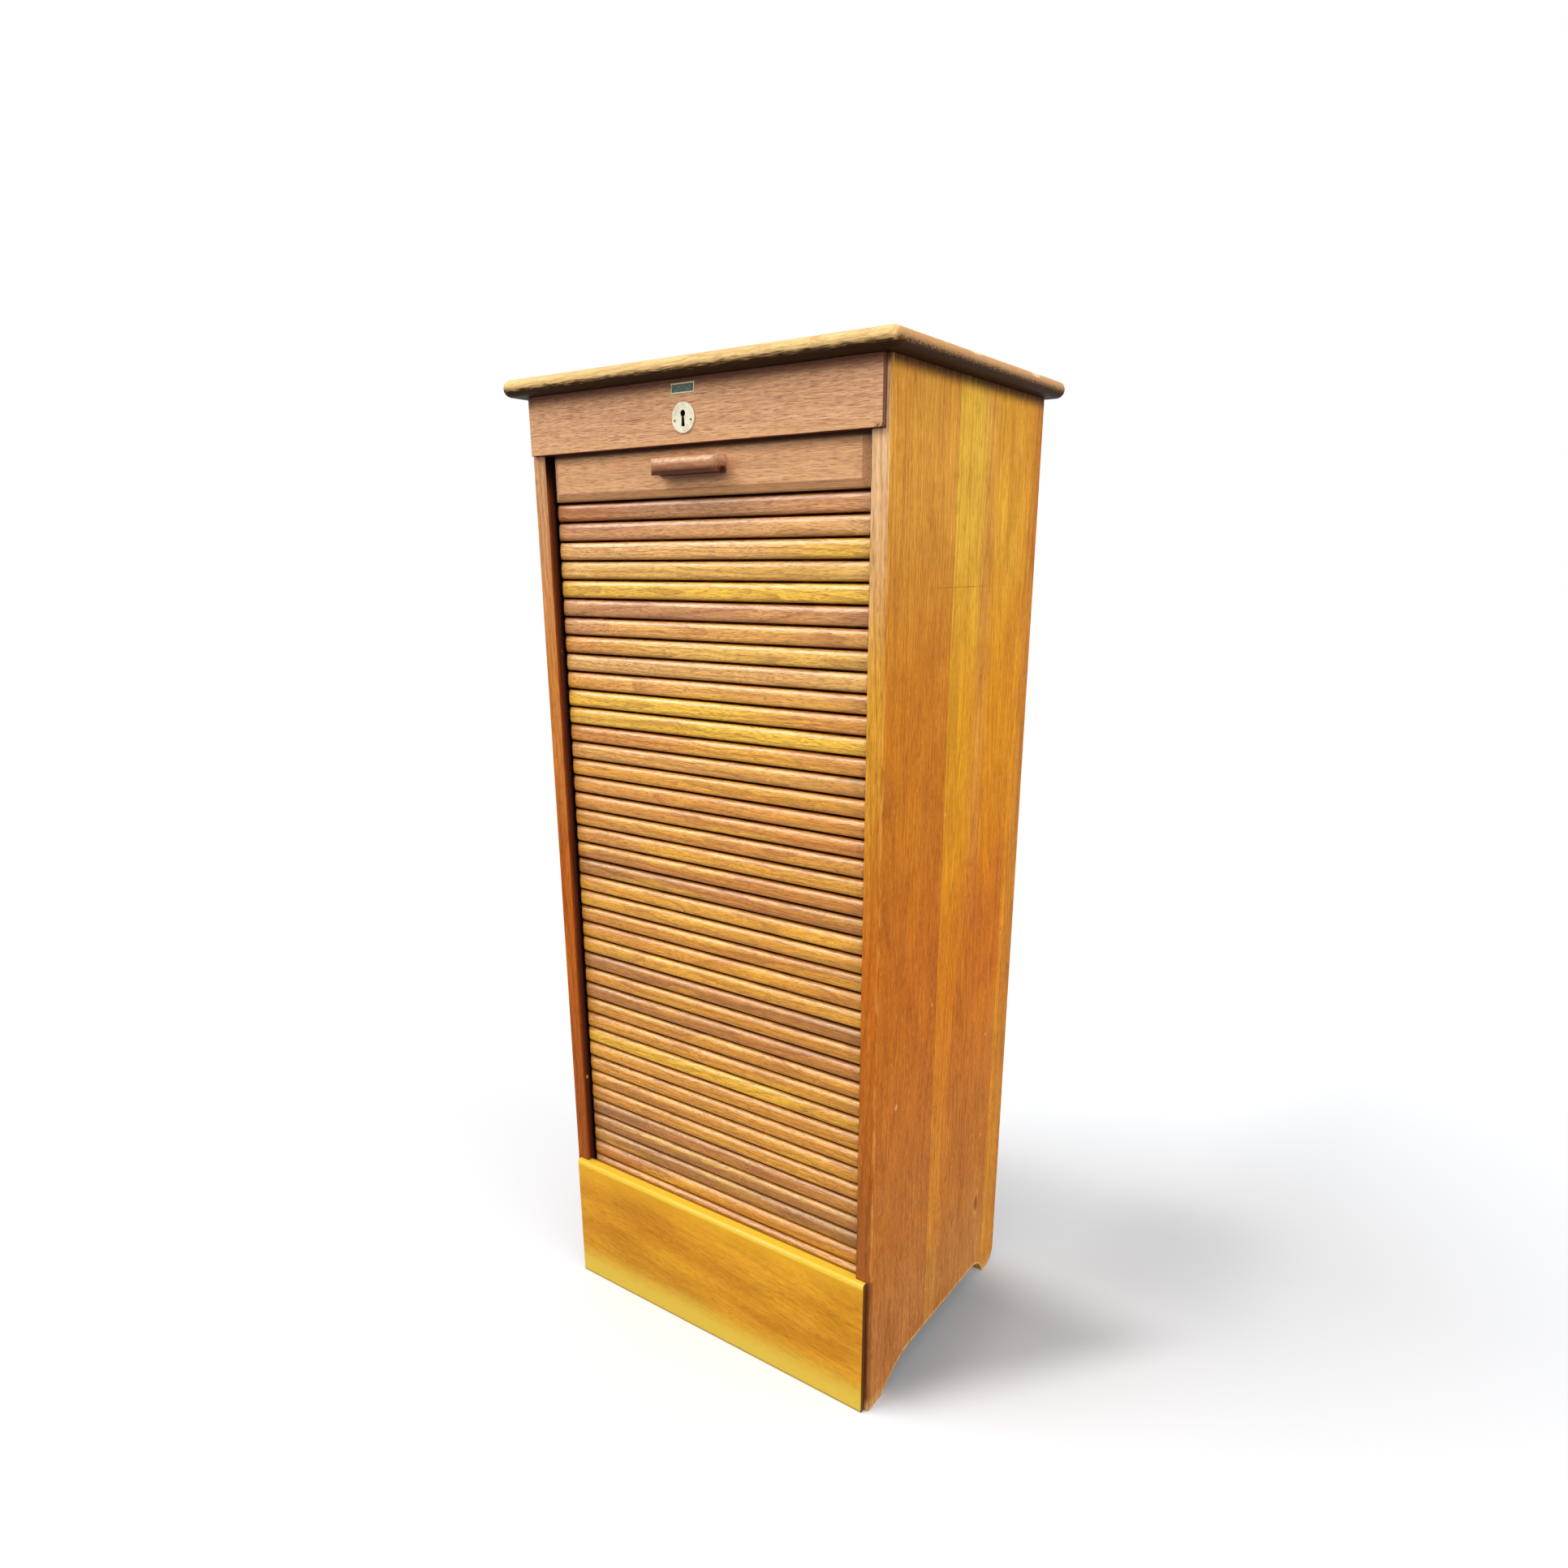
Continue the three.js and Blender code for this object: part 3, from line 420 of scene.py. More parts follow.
def side_paint(graph, colour):
    """Mottling, flecks, the glued joint, a stain, a scratch, dents, painted shadow under the top board,
    rubbed edges, a shadow behind the plinth, a knot, and pale rims on the arch and the feet."""
    y, z = graph.y, graph.z
    right = sided(graph, 0.0, 1.0)
    ragged = graph.drawn((300, 300, 26))
    thin = graph.drawn((300, 520, 11))
    mottle = graph.span(graph.drawn((26, 26, 13), 4, 0.62), 0.32, 0.68)
    mottle = graph.mix(mottle, (0.90, 0.84, 0.76, 1), (1.07, 1.10, 1.12, 1))
    mottle = graph.mix(graph.span(graph.aside, *INNER_LAYER), mottle, WHITE)
    colour = graph.scaled(colour, mottle)
    fleck = graph.span(graph.drawn((1500, 1500, 110), 1), 0.56, 0.68, 0, 0.25)
    colour = graph.lay(colour, shade(244, 186, 96), fleck, graph.span(graph.aside, *OUTER_FACE))
    depth = graph.plus(y, sided(graph, LEFT_SHIFT, 0))
    colour = graph.lay(colour, shade(120, 66, 30), graph.band(depth, *JOINT_LINE), 0.5)
    stain = graph.times(graph.band(y, *STAIN_DEPTHS), graph.band(z, *STAIN_HEIGHTS), right)
    colour = graph.lay(colour, shade(128, 68, 30), stain, graph.span(thin, 0.50, 0.62, 0, 0.6))
    scratch = graph.times(graph.band(y, *SCRATCH_DEPTHS), graph.band(z, *SCRATCH_HEIGHTS), right)
    broken = graph.span(graph.noise(graph.point, 120), 0.35, 0.6, 0.15, 0.6)
    colour = graph.lay(colour, shade(112, 66, 28), scratch, broken)
    dent = graph.span(graph.drawn((75, 75, 52.5), 0), 0.865, 0.885, 0, 0.6)
    colour = graph.mix(dent, colour, shade(240, 190, 116))
    # Painted shadow under the top board, a little ragged
    painted_shade_mask = graph.times(graph.span(z, *SIDE_SHADOW), graph.span(ragged, 0.25, 0.7, 0.8, 0.97))
    colour = graph.mix(painted_shade_mask, colour, shade(62, 32, 14))
    arris = graph.times(graph.span(y, *ARRIS_DEPTHS), graph.span(graph.aside, *ARRIS_SIDES))
    colour = graph.lay(colour, shade(232, 168, 84), arris, graph.span(ragged, 0.44, 0.62, 0, 0.4))
    shadow = graph.times(graph.span(y, *BEHIND_PLINTH), graph.span(z, *BELOW_LEDGE))
    colour = graph.lay(colour, shade(96, 48, 22), shadow, 0.65)
    knot = graph.vector("MULTIPLY", graph.vector("SUBTRACT", graph.point, KNOT), KNOT_STRETCH)
    knot = graph.plus(graph.vector("LENGTH", knot), graph.times(graph.minus(thin, 0.5), KNOT_WANDER))
    colour = graph.lay(colour, shade(226, 156, 70), graph.span(knot, *KNOT_HALO, 0, 0.65), right)
    colour = graph.lay(colour, shade(120, 62, 24), graph.span(knot, *KNOT_CORE, 0, 0.85), right)
    above = graph.minus(z, arch_height(graph))
    rim = graph.times(graph.span(above, *ARCH_RIM), graph.band(y, ARCH_FRONT, ARCH_REAR, ARCH_SOFT))
    colour = graph.lay(colour, shade(234, 184, 112), rim, graph.span(ragged, 0.35, 0.60, 0.15, 0.7))
    return graph.lay(colour, shade(214, 172, 106), graph.span(z, *FOOT_RIM),
                     graph.span(ragged, 0.4, 0.6, 0.2, 0.75))


# The header board

HEADER_LOW, HEADER_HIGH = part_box("header_board")
PLATE_LOW, PLATE_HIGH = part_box("escutcheon")
# Painted shadow under the top board
HEADER_SHADOW = places(HEADER_HIGH.z, -14.2, -2.2)
HEADER_PALE = places(HEADER_LOW.z, 13, 1)
# Painted shade on the underside
HEADER_UNDER = places(HEADER_LOW.z, 0.8, 0)
HEADER_END = places(HEADER_HIGH.x, -0.9, -0.1)
CHIP_SIDES = places(HEADER_HIGH.x, -12.5, -4.5)
CHIP_HEIGHTS = places(HEADER_LOW.z, 5.5, 1.5)
# Painted shade behind the keyhole, centred a little below the plate
KEY_DROP = 1.5 * MM
KEY_PLACE = ((PLATE_LOW.x + PLATE_HIGH.x) / 2, 0.0, (PLATE_LOW.z + PLATE_HIGH.z) / 2 - KEY_DROP)
KEY_RADII = mm(12.5, 11.5)


def header_paint(graph, colour):
    """Painted shadow under the top board, a paler lower part, a dark end, painted shade behind the keyhole,
    a chip in the lower right corner and painted shade on the underside."""
    x, z = graph.x, graph.z
    # Painted shadow under the top board
    colour = graph.lay(colour, shade(98, 54, 40), graph.span(z, *HEADER_SHADOW), 0.85)
    colour = graph.lay(colour, shade(222, 172, 112), graph.span(z, *HEADER_PALE), 0.25)
    colour = graph.lay(colour, shade(78, 42, 28), graph.span(x, *HEADER_END), 0.85)
    # Painted shade behind the keyhole
    away = graph.vector("LENGTH", graph.vector("SUBTRACT", graph.join(x, 0, z), KEY_PLACE))
    colour = graph.mix(graph.span(away, *KEY_RADII), colour, shade(24, 14, 8))
    chip = graph.times(graph.span(x, *CHIP_SIDES), graph.span(z, *CHIP_HEIGHTS))
    rough = graph.span(graph.noise(graph.point, 420), 0.40, 0.52)
    colour = graph.lay(colour, shade(104, 60, 34), chip, rough)
    # Painted shade on the underside
    return graph.mix(graph.span(z, *HEADER_UNDER), colour, shade(84, 30, 12))


# The plinth board

PLINTH_SKEW = 0.14
PLINTH_GOLD = places(PLINTH_HIGH.z, -41, -9)
PLINTH_PALE = mm(70, 30)
PLINTH_WAVE = 30 * MM
PLINTH_ARRIS = places(PLINTH_HIGH.z, -8.5, -4.5)
PLINTH_FOOT = mm(4, 1)
LEDGE_DEPTHS = places(PLINTH_LOW.y, 1.5, 2.5)
LEDGE_HEIGHTS = places(PLINTH_HIGH.z, -1, -0.2)
LEDGE_BACK = places(PLINTH_HIGH.y, -3.5, -1.5)
LEDGE_BACK_HEIGHTS = places(PLINTH_HIGH.z, -2, -1)
RUBBED_DEPTHS = places(PLINTH_LOW.y, 3, 2)
RUBBED_HEIGHTS = places(PLINTH_HIGH.z, -2.4, -0.4) + mm(0.8)
PLINTH_END = places(PLINTH_HIGH.x, -1.5, -0.3)


def plinth_shift(graph):
    """The plinth board is sawn a little across the grain."""
    return graph.join(0, 0, graph.times(graph.x, PLINTH_SKEW))


def plinth_paint(graph, colour):
    """Cloudy varnish, golden near the top and pale near the floor, a rubbed ledge and a dark end."""
    x, y, z = graph.x, graph.y, graph.z
    cloud = graph.drawn((7, 7, 24), 3)
    colour = graph.scaled(colour, graph.mix(graph.span(cloud, 0.32, 0.68), (0.84, 0.76, 0.66, 1),
                                            (1.08, 1.12, 1.12, 1)))
    colour = graph.mix(graph.span(z, *PLINTH_GOLD, 0, 0.5), colour, shade(232, 174, 42))
    height = graph.plus(z, graph.times(cloud, PLINTH_WAVE))
    colour = graph.lay(colour, shade(224, 192, 74), graph.span(height, *PLINTH_PALE), 0.85)
    colour = graph.lay(colour, shade(246, 208, 70), graph.span(z, *PLINTH_ARRIS), 0.85)
    colour = graph.mix(graph.span(z, *PLINTH_FOOT, 0, 0.6), colour, shade(120, 78, 28))
    ledge = graph.times(graph.span(z, *LEDGE_HEIGHTS), graph.span(y, *LEDGE_DEPTHS))
    colour = graph.lay(colour, shade(226, 180, 48), ledge, 0.8)
    back = graph.times(graph.span(y, *LEDGE_BACK), graph.span(z, *LEDGE_BACK_HEIGHTS))
    colour = graph.lay(colour, shade(96, 50, 18), back, 0.85)
    rubbed = graph.times(graph.band(z, *RUBBED_HEIGHTS), graph.span(y, *RUBBED_DEPTHS))
    colour = graph.lay(colour, shade(252, 232, 170), rubbed, graph.span(cloud, 0.35, 0.65, 0.1, 0.6))
    return graph.lay(colour, shade(76, 38, 16), graph.span(x, *PLINTH_END), 0.95)


# The top board

TOP_LOW, TOP_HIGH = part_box("top_board")
END_GRAIN = places(TOP_HIGH.x, -5.5, -1.5)
END_WORN = places(TOP_HIGH.x, -5.5, -2.5)
WORN_HEIGHTS = places(TOP_LOW.z, 8, 13)
TOP_RUSSET = places(TOP_LOW.z, 10, 4)
# The painted shade on the lower half of the edge reaches higher at the ends
UNDER_SHADE_TOPS = places(TOP_LOW.z, 9.5, 12.3)
UNDER_SHADE_FULL = TOP_LOW.z + 4 * MM
UNDER_SHADE_WANDER = 10 * MM
CEILING_SIDES = places(SIDE_LOW.x, 0, -1.5)
CEILING_DEPTHS = (HEADER_HIGH.y + 6 * MM, SIDE_HIGH.y - 9 * MM, 1 * MM)
CEILING_HEIGHTS = places(TOP_LOW.z, 2.5, 1.5)
# The upper face is painted darker against the strong light from above
TOP_FACE = places(TOP_HIGH.z, -1.2, -0.1)
RUBBED_SPOTS = (mm(257.5, 110, 1185), mm(259, 206, 1181.5), mm(255, -40, 1186.5))
SPOT_STRETCH = (1.0, 0.42, 1.6)
SPOT_RADII = mm(6.2, 3)
SPOT_WANDER = 8 * MM


def top_paint(graph, colour):
    """End grain at both ends, a worn rim, painted shade on the lower half of the edge, plain oak over the
    compartment, an upper face painted darker against the strong light from above, and rubbed spots on the
    right end."""
    z = graph.z
    grain = graph.drawn((70, 260, 900))
    uneven = graph.minus(grain, 0.5)
    ends = graph.times(graph.span(graph.aside, *END_GRAIN), graph.span(grain, 0.3, 0.7, 0.5, 1))
    colour = graph.mix(ends, colour, graph.scaled(colour, shade(206, 190, 196)))
    colour = graph.lay(colour, shade(210, 146, 84), graph.span(z, *TOP_RUSSET), 0.40)
    worn = graph.times(graph.span(graph.aside, *END_WORN), graph.span(z, *WORN_HEIGHTS, 0.3, 0.6))
    colour = graph.mix(worn, colour, shade(204, 148, 96))
    plain = colour
    # Painted shade on the lower half of the edge, which faces down
    start = graph.span(graph.aside, *END_GRAIN, *UNDER_SHADE_TOPS)
    dirt_and_shade = graph.span(graph.plus(z, graph.times(uneven, UNDER_SHADE_WANDER)), start, UNDER_SHADE_FULL)
    colour = graph.lay(colour, shade(40, 18, 9), dirt_and_shade, 0.97)
    ceiling = graph.times(graph.span(graph.aside, *CEILING_SIDES), graph.band(graph.y, *CEILING_DEPTHS))
    plain = graph.mix(0.6, plain, shade(190, 142, 88))
    colour = graph.lay(colour, plain, ceiling, graph.span(z, *CEILING_HEIGHTS))
    # The upper face is painted darker, against the strong light that falls on it from above
    colour = graph.scaled(colour, graph.mix(graph.span(z, *TOP_FACE), WHITE, (0.66, 0.58, 0.50, 1)))
    for spot in RUBBED_SPOTS:
        away = graph.vector("MULTIPLY", graph.vector("SUBTRACT", graph.point, spot), SPOT_STRETCH)
        away = graph.plus(graph.vector("LENGTH", away), graph.times(uneven, SPOT_WANDER))
        colour = graph.mix(graph.span(away, *SPOT_RADII, 0, 0.75), colour, shade(246, 214, 168))
    return colour


# The lead rail and its pull

LEAD_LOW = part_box("lead_rail")[0]
PULL_LOW, PULL_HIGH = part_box("pull_handle")
# Painted light in a band under the header, where the header's shadow reaches too far
LEAD_PAINTED_LIGHT = places(LEAD_LOW.z, 34, 41.5) + mm(4.5)
LEAD_LINE = places(LEAD_LOW.z, 6.8, 8.8) + mm(0.9)
LEAD_LINE_ENDS = mm(208.5, 206.5)
# Painted shade on the slope of the lower chamfer, and on the right chamfer
LEAD_SLOPE = places(LEAD_LOW.z, 6.8, 5.5)
LEAD_CHAMFER = mm(206, 207.2)
CHAMFER_LINE = mm(205.6, 206.6, 0.6)
CHAMFER_HEIGHTS = places(LEAD_LOW.z, 7, 8.5)
# Painted shade under the header, at the rail's ends in the grooves and along its bottom edge
LEAD_TOP = places(LEAD_LOW.z, 44.5, 48.5)
LEAD_GAP = mm(213.2, 213.8)
LEAD_UNDER = places(LEAD_LOW.z, 2.5, 0.5)
SHADOW_SIDES = (PULL_LOW.x + 9.5 * MM, PULL_HIGH.x + 3.5 * MM, 10 * MM)
SHADOW_HEIGHTS = places(PULL_LOW.z, -6, 1.5) + mm(4)
TOUCHED_SIDES = places(PULL_HIGH.x, 2.5, 15.5) + mm(4)
TOUCHED_HEIGHTS = places(LEAD_LOW.z, 14, 38) + mm(6)
# The top is pale, partly rubbed and partly painted light, and the underside is painted shade
PULL_WEAR_AND_LIGHT = places(PULL_LOW.z, 8, 14)
PULL_UNDER = places(PULL_LOW.z, 8.5, 3.3)


def lead_paint(graph, colour):
    """Painted light in a band under the header, where its shadow reaches too far; the line of the lower
    chamfer and painted shade on its slope; painted shade and a line on the right chamfer; painted shade
    under the header, at the ends and along the bottom edge; the pull's shadow and a stain beside it."""
    x, z = graph.x, graph.z
    # Painted light in a band under the header, where the header's shadow reaches too far
    colour = graph.scaled(colour, graph.mix(graph.band(z, *LEAD_PAINTED_LIGHT), WHITE, (1.32, 1.30, 1.36, 1)))
    line = graph.times(graph.band(z, *LEAD_LINE), graph.span(graph.aside, *LEAD_LINE_ENDS))
    colour = graph.lay(colour, shade(112, 58, 28), line, 0.6)
    # Painted shade on the slope of the lower chamfer and on the right chamfer
    colour = graph.lay(colour, shade(196, 138, 80), graph.span(z, *LEAD_SLOPE), 0.45)
    colour = graph.lay(colour, shade(160, 88, 52), graph.span(x, *LEAD_CHAMFER), 0.30)
    line = graph.times(graph.band(x, *CHAMFER_LINE), graph.span(z, *CHAMFER_HEIGHTS))
    colour = graph.lay(colour, shade(112, 58, 28), line, 0.5)
    # Painted shade under the header, at the ends in the grooves and along the bottom edge
    colour = graph.lay(colour, shade(54, 20, 10), graph.span(z, *LEAD_TOP), 0.9)
    colour = graph.mix(graph.span(graph.aside, *LEAD_GAP), colour, shade(26, 13, 8))
    colour = graph.lay(colour, shade(52, 20, 9), graph.span(z, *LEAD_UNDER), 0.7)
    shadow = graph.times(graph.band(x, *SHADOW_SIDES), graph.band(z, *SHADOW_HEIGHTS))
    colour = graph.lay(colour, shade(126, 84, 68), shadow, 0.6)
    touched = graph.times(graph.band(x, *TOUCHED_SIDES), graph.band(z, *TOUCHED_HEIGHTS))
    broken = graph.span(graph.noise(graph.point, 260), 0.38, 0.56, 0.1, 0.3)
    return graph.lay(colour, shade(196, 122, 72), touched, broken)


def pull_paint(graph, colour):
    """Pale on top, partly rubbed and partly painted light, and painted shade below."""
    worn = graph.span(graph.noise(graph.point, 150), 0.35, 0.65, 0.35, 0.8)
    # Pale top: rubbed patches and painted light; then painted shade on the underside
    colour = graph.lay(colour, shade(226, 186, 148), graph.span(graph.z, *PULL_WEAR_AND_LIGHT), worn)
    return graph.lay(colour, shade(84, 36, 14), graph.span(graph.z, *PULL_UNDER), 0.92)


# The slats' looks come from layers on their vertices: tone (with painted light and shade), cut, painted
# shade and rays

RAYS_FADE = mm(-100, 40)
CUT_SPREAD = (7.0, 3.0, 5.0)


def slat_tone(graph):
    return graph.attribute("tone", "Color")


def slat_rays(graph):
    return graph.times(graph.attribute("rays"), graph.span(graph.x, *RAYS_FADE, 1, 0.35))


def slat_shift(graph):
    """Each slat is cut from another place in the tree."""
    return graph.vector("MULTIPLY", graph.attribute("cut", "Color"), CUT_SPREAD)


def slat_dullness(graph):
    # The shine goes where shade is painted
    return graph.span(graph.attribute("painted_shade_mask"), 0, 0.5)


def slat_paint(graph, colour):
    """Painted shade turns the wood red-brown, and nearly black where it is deepest."""
    ragged = graph.span(graph.drawn((40, 400, 400)), 0.2, 0.7, 0.6, 1)
    # Painted shade in the gaps: red-brown, nearly black where deepest
    painted_shade_mask = graph.times(graph.attribute("painted_shade_mask"), ragged)
    colour = graph.mix(painted_shade_mask, colour, graph.scaled(colour, (0.42, 0.17, 0.14, 1)))
    return graph.mix(graph.span(painted_shade_mask, 0.2, 0.95, 0, 0.95), colour, shade(40, 12, 5))


# Canvas and metal

THREADS = 350.0
CANVAS_BUMP = 0.4 * MM
SCRATCH_SCALE = (900.0, 900.0, 108.0)
METAL_BUMP = 0.06 * MM


def canvas(name):
    material = bpy.data.materials.new(name)
    graph = Graph(material)
    threads = []
    for direction in ("X", "Z"):
        wave = graph.add("TexWave", bands_direction=direction, wave_profile="SIN")
        graph.feed_named(wave, Vector=graph.point, Scale=THREADS, Distortion=0.6)
        threads.append(wave.outputs["Fac"])
    weave = graph.times(*threads)
    dirt_and_shade = graph.noise(graph.point, 30, 3)
    # The canvas's dark red-brown is painted shade, for the gaps between the slats where it shows
    colour = graph.mix(weave, shade(44, 20, 11), shade(66, 38, 23))
    colour = graph.mix(graph.span(dirt_and_shade, 0.45, 0.75, 0, 0.5), colour, shade(28, 12, 7))
    roughness = graph.span(weave, 0, 1, 0.95, 0.8)
    graph.surface(colour, roughness, weave, CANVAS_BUMP, 0.7, Specular_IOR_Level=0.02)
    return material


def metal(name, bright, dull, tarnish, roughness, metallic=1.0):
    material = bpy.data.materials.new(name)
    graph = Graph(material)
    cloud = graph.noise(graph.point, 130, 4, 0.62)
    fine = graph.drawn(SCRATCH_SCALE, 2, 0.6)
    colour = graph.lay(bright, dull, graph.span(cloud, 0.42, 0.68), tarnish)
    colour = graph.mix(graph.span(fine, 0.55, 0.75, 0, 0.3), colour, dull)
    rough = graph.plus(graph.times(cloud, 0.22), roughness - 0.08)
    height = graph.plus(graph.times(fine, 0.4), cloud)
    graph.surface(colour, rough, height, METAL_BUMP, 0.5, Metallic=metallic)
    return material


# Meshes

WELD = 0.001 * MM
NODE_WELD = 0.01 * MM


def put(name, data):
    made = bpy.data.objects.new(name, data)
    bpy.context.scene.collection.objects.link(made)
    return made


def mesh_piece(name, rings, materials, indices=None):
    """A closed piece lofted through rings of points that have one count, with a flat face over each end."""
    count = len(rings[0])
    points = [point for ring in rings for point in ring]
    faces = []
    for start in range(0, len(points) - count, count):
        for i in range(count):
            j = (i + 1) % count
            faces.append((start + i, start + j, start + count + j, start + count + i))
    faces.append(tuple(reversed(range(count))))
    faces.append(tuple(range(len(points) - count, len(points))))
    mesh = bpy.data.meshes.new(name)
    mesh.from_pydata(points, [], faces)
    for material in materials:
        mesh.materials.append(material)
    if indices is not None:
        mesh.polygons.foreach_set("material_index", indices)
    mesh.validate()
    made = put(name, mesh)
    work = bmesh.new()
    work.from_mesh(mesh)
    bmesh.ops.remove_doubles(work, verts=work.verts, dist=WELD)
    bmesh.ops.recalc_face_normals(work, faces=work.faces)
    work.to_mesh(mesh)
    work.free()
    return made


def smooth(made, sharp_angle=None):
    mesh = made.data
    mesh.polygons.foreach_set("use_smooth", [True] * len(mesh.polygons))
    if sharp_angle is not None:
        mesh.set_sharp_from_angle(angle=math.radians(sharp_angle))


def stand_for(made, node, body):
    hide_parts(node)
    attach(made, body)


def soften(node, material, width, segments):
    """Gives a CAD node its material and takes the sharpness off its edges."""
    made = nodes[node]
    made.data.materials.clear()
    made.data.materials.append(material)
    weld = made.modifiers.new("weld", "WELD")
    weld.merge_threshold = NODE_WELD
    if width:
        bevel = made.modifiers.new("soft edges", "BEVEL")
        bevel.width = width
        bevel.segments = segments
        bevel.limit_method = "ANGLE"
        bevel.angle_limit = math.radians(28)
        bevel.use_clamp_overlap = True
        bevel.miter_outer = "MITER_ARC"


# The curtain's slats: a worn half-round profile, rounded off at both ends, with a tongue in each groove

SLAT_COUNT = 41
SLAT_STEPS = 16
# The wood is narrower than its canvas strip by this at each edge, and lies this much below its middle
SLAT_DROP = 0.75 * MM
SLAT_RISE = 6.5 * MM
SLAT_DEPTH = 10 * MM
SLAT_SHOULDER = 219 * MM
SLAT_END_RUN = 8 * MM
SLAT_LEAN, SLAT_BOW, SLAT_RIPPLE = mm(0.25, 0.3, 0.12)
TONGUE_FACE, TONGUE_HALF = mm(4, 6)
END_STATIONS = mm(219, 217.6, 215.8, 213.5, 211, 190)
MIDDLE_STATIONS = mm(*range(-170, 171, 20))
CURTAIN_TOP, CURTAIN_HEIGHT = mm(1056, 875)
SLAT_SEED = 400

TONES = {
    "rose": shade(211, 155, 107),
    "clay": shade(196, 140, 98),
    "mauve": shade(176, 126, 92),
    "sand": shade(224, 173, 114),
    "honey": shade(230, 182, 98),
    "gold": shade(234, 187, 72),
    "tan": shade(219, 160, 92),
    "amber": shade(224, 161, 72),
    "rust": shade(214, 148, 76),
    "brown": shade(204, 136, 68),
    "umber": shade(187, 121, 64),
    "marigold": shade(238, 184, 62),
    "russet": shade(212, 145, 62),
    "walnut": shade(172, 112, 56),
    # pale is the colour of the painted highlight along the slats' crests
    "pale": shade(255, 226, 184),
}
SLAT_TONES = (
    "mauve rose sand honey gold clay tan honey sand tan "
    "gold gold rust tan amber rust rust rust amber brown "
    "umber amber amber russet russet amber umber russet umber russet "
    "russet marigold russet russet russet russet umber walnut walnut russet umber"
).split()
# Slats whose right or left end is of another tone than the rest
RIGHT_ENDS = {1: "rose", 2: "sand", 3: "gold", 11: "rust", 17: "brown", 27: "walnut", 31: "amber",
              32: "russet", 37: "umber", 41: "russet"}
LEFT_ENDS = {1: "umber", 2: "clay", 7: "clay", 8: "rust", 10: "rust", 13: "brown", 19: "rust", 20: "umber",
             21: "walnut", 27: "walnut", 37: "walnut", 40: "umber"}
RIGHT_END_START, RIGHT_END_RUN = mm(20, 160)
LEFT_END_START, LEFT_END_RUN = mm(60, 120)
END_WANDER = 60 * MM
# Paler towards the top and darker and deeper in colour towards the floor: painted light and shade, as for
# light from above
TINT_HIGH, TINT_LOW = Vector((1.06, 1.02, 0.86)), Vector((1.08, 1.05, 0.33))
# Where on the profile the painted highlight lies, and its width
CREST, CREST_WIDTH = 0.66, 0.16
# Slats on which pale rays show, and how strongly
RAY_SLATS = {3: 0.55, 4: 0.45, 9: 0.25, 19: 0.2, 31: 0.2}

slat_material = oak("slat oak", "X", slat_tone, rings=0.75, streaks=0.9, dashes=0.7, rays=slat_rays,
                    paint=slat_paint, gloss=0.6, sheen=0.3, dullness=slat_dullness, shift=slat_shift)
canvas_material = canvas("curtain canvas")


def slat_rings(number, low, high, rng):
    """The slat's cross sections from left to right. Each goes over the half-round, then round the canvas."""
    middle = (low.z + high.z) / 2
    strip = (high.z - low.z) / 2
    chord = strip - SLAT_DROP
    crown, edge, back = low.y, low.y + SLAT_RISE, low.y + SLAT_DEPTH
    lean = rng.uniform(-SLAT_LEAN, SLAT_LEAN)
    bow = rng.uniform(-SLAT_BOW, SLAT_BOW)

    def section(x):
        worn = min(1.0, max(0.0, (SLAT_SHOULDER - abs(x)) / SLAT_END_RUN))
        worn = math.sin(worn * math.pi / 2) ** 0.8
        drift = lean * x / SLAT_SHOULDER + bow * (1 - (x / SLAT_SHOULDER) ** 2)
        ring = []
        for k in range(SLAT_STEPS + 1):
            t = math.sin((2 * k / SLAT_STEPS - 1) * math.pi / 2)
            swell = max(0.0, 1 - abs(t) ** (6.0 if t < 0 else 3.0)) ** 0.60
            ripple = SLAT_RIPPLE * noise.noise(Vector((x * 22, number * 3.7, t * 0.8)))
            y = edge - SLAT_RISE * swell * worn + ripple * swell
            z = middle + chord * t - SLAT_DROP + drift * (1 - abs(t)) * 0.5
            ring.append(Vector((x, max(crown, y), z)))
        for y, z in ((back, chord - SLAT_DROP), (back, strip), (high.y, strip), (high.y, -strip),
                     (back, -strip), (back, -chord - SLAT_DROP)):
            ring.append(Vector((x, y, middle + z)))
        return ring

    def tongue(x):
        """The section at the shoulder, cut down to the tongue."""
        return [Vector((x, min(max(y, crown + TONGUE_FACE), back),
                        middle + min(max(z - middle, -TONGUE_HALF), TONGUE_HALF)))
                for _, y, z in section(math.copysign(SLAT_SHOULDER, x))]

    rings = [tongue(-high.x), tongue(-SLAT_SHOULDER)]
    rings += [section(-x) for x in END_STATIONS]
    rings += [section(x) for x in MIDDLE_STATIONS]
    rings += [section(x) for x in reversed(END_STATIONS)]
    return rings + [tongue(SLAT_SHOULDER), tongue(high.x)]


def cloth_indices(ring_count, point_count):
    """The canvas covers the back of a slat, but not of its tongues and ends."""
    cloth = range(SLAT_STEPS + 2, SLAT_STEPS + 6)
    indices = []
    for r in range(ring_count - 1):
        for i in range(point_count):
            indices.append(1 if i in cloth and 1 < r < ring_count - 3 else 0)
    return indices + [0, 0]


def ease(value, start, run):
    share = min(1.0, max(0.0, (value - start) / run))
    return share * share * (3 - 2 * share)


